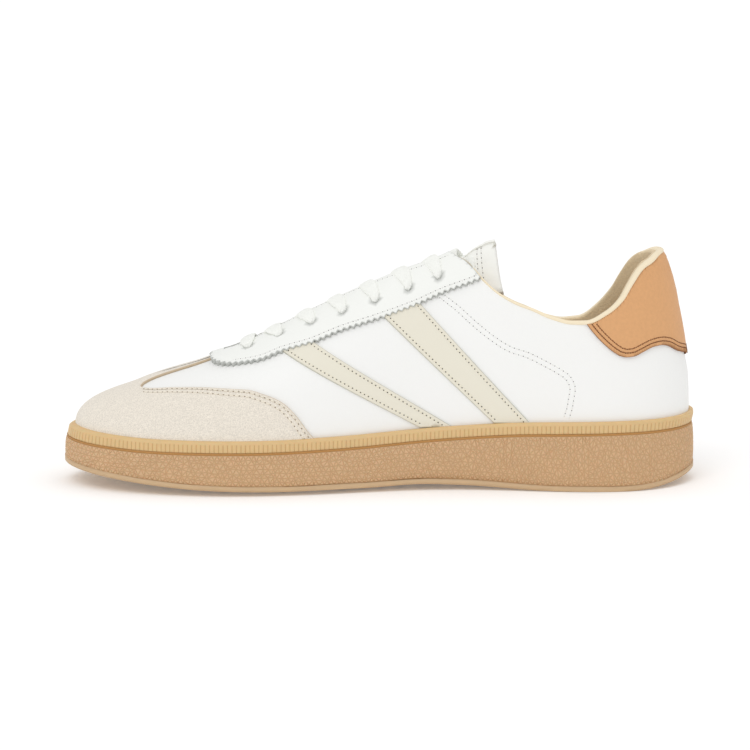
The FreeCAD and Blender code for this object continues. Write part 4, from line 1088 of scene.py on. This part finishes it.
# painted shade: the rib grooves' columns take the darker edge colour
shades = [cut * cut_here for _, _, cut in band]
rows3 += [sole_point(ribs, 0.9, top), sole_point(ribs, 0.05, top - 0.1)]
shades += [0 * cut_here, 0 * cut_here]
outer = np.stack(rows3)
inner = np.stack([sole_point(ribs, 0, top + min(z, -0.2)) for z in [row[1] for row in band] + [0, 0]])
foxing = make("ribbed foxing", *quilt(outer, inner, ring=True),
              shade=np.concatenate([*shades, 0 * inner[..., 0].ravel()]))
finish(foxing, foxing_rubber, "foxing_rubber", "foxing_strip")

# The groove between the foxing and the side wall, in darker rubber: painted shade.
outer, inner = (np.stack([sole_point(smooth_s, out, rim_z - drop) for drop in (6.4, 5.45)])
                for out in (over - 1.1, 0))
finish(make("foxing groove", *quilt(outer, inner, ring=True)), shaded_groove_rubber, "gum_rubber")

# The side wall: shallow triangular studs over a random net of channels.
def low_z(x):
    return ground_clearance(x) + edge_lift(x) + 2.3


def high_z(x):
    return sole_top(x) - 6.35


STUD_GAP, STUD_HIGH = 0.42, 0.22
net, spacing, s = [], 2.35, 0.0
while s < AROUND - 0.4 * spacing:
    x, _ = outline(s)
    tall = float(high_z(x) - low_z(x))
    n_rows = max(2, int(round(tall / (spacing * 0.87))))
    for i in range(n_rows + 1):
        loose = 0.0 if i in (0, n_rows) else 0.30 * spacing
        u = s + (0.5 * spacing if i % 2 else 0) + rng.uniform(-1, 1) * loose
        v = i / n_rows + rng.uniform(-1, 1) * loose / tall
        net.append((u, float(np.clip(v, 0, 1))))
    s += spacing
net = np.array(net)
scale_v = 14.0
pool = np.concatenate([net, net[net[:, 0] < 4 * spacing] + (AROUND, 0)])
result = delaunay_2d_cdt([Vector((a, b * scale_v)) for a, b in pool], [], [], 0, 1e-6, False)
where = np.array([tuple(v) for v in result[0]])
tris = [t for t in result[2] if not (where[list(t), 0] > AROUND + 0.6 * spacing).all()]


def wall_point(u, v, raised):
    x, _ = outline(u)
    low, high = low_z(x), high_z(x)
    waist = ease((x + 10) / 40) * ease((90 - x) / 45)
    bulge = 0.6 * np.sqrt(np.clip(np.sin(np.pi * np.clip(v, 0, 1)), 0, 1))
    lean_in = -0.85 + bulge - 0.35 * v - 0.8 * waist * (1 - v)
    return sole_point(u, sole_overhang(x) + lean_in + raised, low + (high - low) * v)


faces, keep_tris, seen = [], [], set()
for t in tris:
    key = tuple(sorted((round(float(where[k][0] % AROUND), 3), round(float(where[k][1]), 3)) for k in t))
    if key not in seen:
        seen.add(key)
        keep_tris.append(t)
base_u = where[:, 0] % AROUND
base = wall_point(base_u, where[:, 1] / scale_v, 0)
top_points = []
for t in keep_tris:
    corners = where[list(t)]
    centre = corners.mean(0)
    a, b, c = corners
    area = abs((b[0] - a[0]) * (c[1] - a[1]) - (b[1] - a[1]) * (c[0] - a[0])) / 2
    radius = 2 * area / (math.dist(a, b) + math.dist(b, c) + math.dist(c, a) + 1e-9)
    shrink = max(0.25, 1 - STUD_GAP / max(radius, 0.05)) if radius > 0.25 else 0.25
    top_points += [centre + (corner - centre) * shrink for corner in corners]
top_points = np.array(top_points)
raised = wall_point(top_points[:, 0] % AROUND, top_points[:, 1] / scale_v, STUD_HIGH)
wall_verts = np.concatenate([base, raised])
for i, t in enumerate(keep_tris):
    r = len(base) + 3 * i
    faces.append((r, r + 1, r + 2))
    for k in range(3):
        m = (k + 1) % 3
        faces.append((t[k], t[m], r + m, r + k))
# shade 1 on the channels, 0 on the studs' tops: painted shade, darker channels
studs = make("side wall studs", wall_verts, faces, weld=0.02, smooth=False,
             shade=np.concatenate([np.ones(len(base)), np.zeros(len(raised))]))
bm = bmesh.new()
bm.from_mesh(studs.data)
open_edges = [e for e in bm.edges if e.is_boundary]
filled = bmesh.ops.extrude_edge_only(bm, edges=open_edges)
moved = [v for v in filled["geom"] if isinstance(v, bmesh.types.BMVert)]
for v in moved:
    k = int(np.argmin((TRACK[:, 0] * MM - v.co.x) ** 2 + (TRACK[:, 1] * MM - v.co.y) ** 2))
    v.co.x, v.co.y = TRACK[k, 0] * MM, TRACK[k, 1] * MM
bmesh.ops.recalc_face_normals(bm, faces=bm.faces)
bm.to_mesh(studs.data)
bm.free()
finish(studs, gum_rubber, "gum_rubber", "cup_sidewall")

# The outsole keeps the CAD's tread; its edge rolls up to meet the side wall.
BEAD_THINNER = 0.7
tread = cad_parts["outsole"]
mesh = tread.data.copy()
outsole = linked("rolled_outsole", mesh)
outsole.matrix_world = tread.matrix_world.copy()
work = bmesh.new()
work.from_mesh(mesh)
work.transform(tread.matrix_world)
bmesh.ops.remove_doubles(work, verts=work.verts, dist=1e-5)
spots = np.array([v.co[:] for v in work.verts]) / MM
reach = np.array([np.argmin((TRACK[:, 0] - x) ** 2 + (TRACK[:, 1] - y) ** 2) for x, y in spots[:, :2]])
outward = np.linalg.norm(spots[:, :2] - TRACK[reach], axis=1)
outward *= np.where(inside(spots[:, :2], TRACK[::20]), -1, 1)
rise = edge_lift(spots[:, 0]) * ease((outward - sole_overhang(spots[:, 0]) + 11) / 10.5)
edge_top = (spots[:, 2] > ground_clearance(spots[:, 0]) + 1.6) & (outward > sole_overhang(spots[:, 0]) - 3)
rise = rise - np.where(edge_top, BEAD_THINNER, 0)
for v, up in zip(work.verts, rise):
    v.co.z += up * MM
work.transform(tread.matrix_world.inverted())
work.to_mesh(mesh)
work.free()
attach(outsole, "shoe")
finish(outsole, bead_rubber, "gum_rubber", "outsole")

# ---------------------------------------------------------------- stitching in one mesh per colour, with the needle holes' painted shade
THREAD_SLOT = {"white": "white_leather", "cream": "cream_overlay", "suede": "cream_suede",
               "brown": "tan_leather"}
for kind, runs in thread_runs.items():
    starts, ends, ups = merged(runs)
    finish(rods(f"{kind} stitching", starts + ups * 0.02, ends + ups * 0.02, ups, 0.3), THREADS[kind],
           THREAD_SLOT[kind])
# dark rods at every needle hole: painted shade in the holes
for kind, runs in hole_shade_runs.items():
    finish(rods(f"{kind} needle marks", *merged(runs), 0.24 if kind == "suede" else 0.28, squash=0.35),
           NEEDLE_SHADE[kind], THREAD_SLOT[kind])

# ---------------------------------------------------------------- finishes of the CAD's own pieces
CAD_LOOKS = {"midsole_filler": foam, "insole_board": board, "footbed": lining_textile,
             "toe_puff": board, "heel_counter": board, "eyelet_backer": board, "vamp_lining": white_textile,
             "aglet_medial": clear_plastic, "aglet_lateral": clear_plastic}
for name, look in CAD_LOOKS.items():
    coat_with(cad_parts[name], look)

# ---------------------------------------------------------------- floor, light and camera
floor_mesh = bpy.data.meshes.new("floor")
floor_mesh.from_pydata([(-12, -12, 0), (12, -12, 0), (12, 12, 0), (-12, 12, 0)], [], [(0, 1, 2, 3)])
floor = linked("floor", floor_mesh)
floor_look = bpy.data.materials.new("studio floor")
floor_look.use_nodes = True
tune(floor_look.node_tree.nodes["Principled BSDF"],
     {"Base Color": (0.97, 0.97, 0.97, 1), "Roughness": 1.0, "Specular IOR Level": 0.0,
      "Emission Color": (1, 1, 1, 1), "Emission Strength": 0.12})
floor_mesh.materials.append(floor_look)

world = bpy.data.worlds.new("studio")
bpy.context.scene.world = world
world.use_nodes = True
tune(world.node_tree.nodes["Background"], {"Color": (1, 1, 1, 1), "Strength": 0.7})
for name, power, spread, turn_to in (("key", 0.62, 35, (math.radians(38), 0, math.radians(-25))),
                                     ("top", 0.35, 60, (math.radians(-5), math.radians(12), 0))):
    lamp = bpy.data.lights.new(name, "SUN")
    lamp.energy, lamp.angle = power, math.radians(spread)
    linked(name, lamp).rotation_euler = turn_to

lens = bpy.data.cameras.new("camera")
lens.lens, lens.sensor_width = 152.8, 36.0
lens.clip_end = 50
camera = linked("camera", lens)
aim, far_off, tilt = Vector((-0.0024, 0, 0.048)), 1.5, math.radians(9.5)
camera.location = aim + Vector((0, -far_off * math.cos(tilt), far_off * math.sin(tilt)))
camera.rotation_euler = (HALF_PI - tilt, 0, 0)
bpy.context.scene.camera = camera
bpy.context.scene.view_settings.view_transform = "Standard"
bpy.context.view_layer.update()
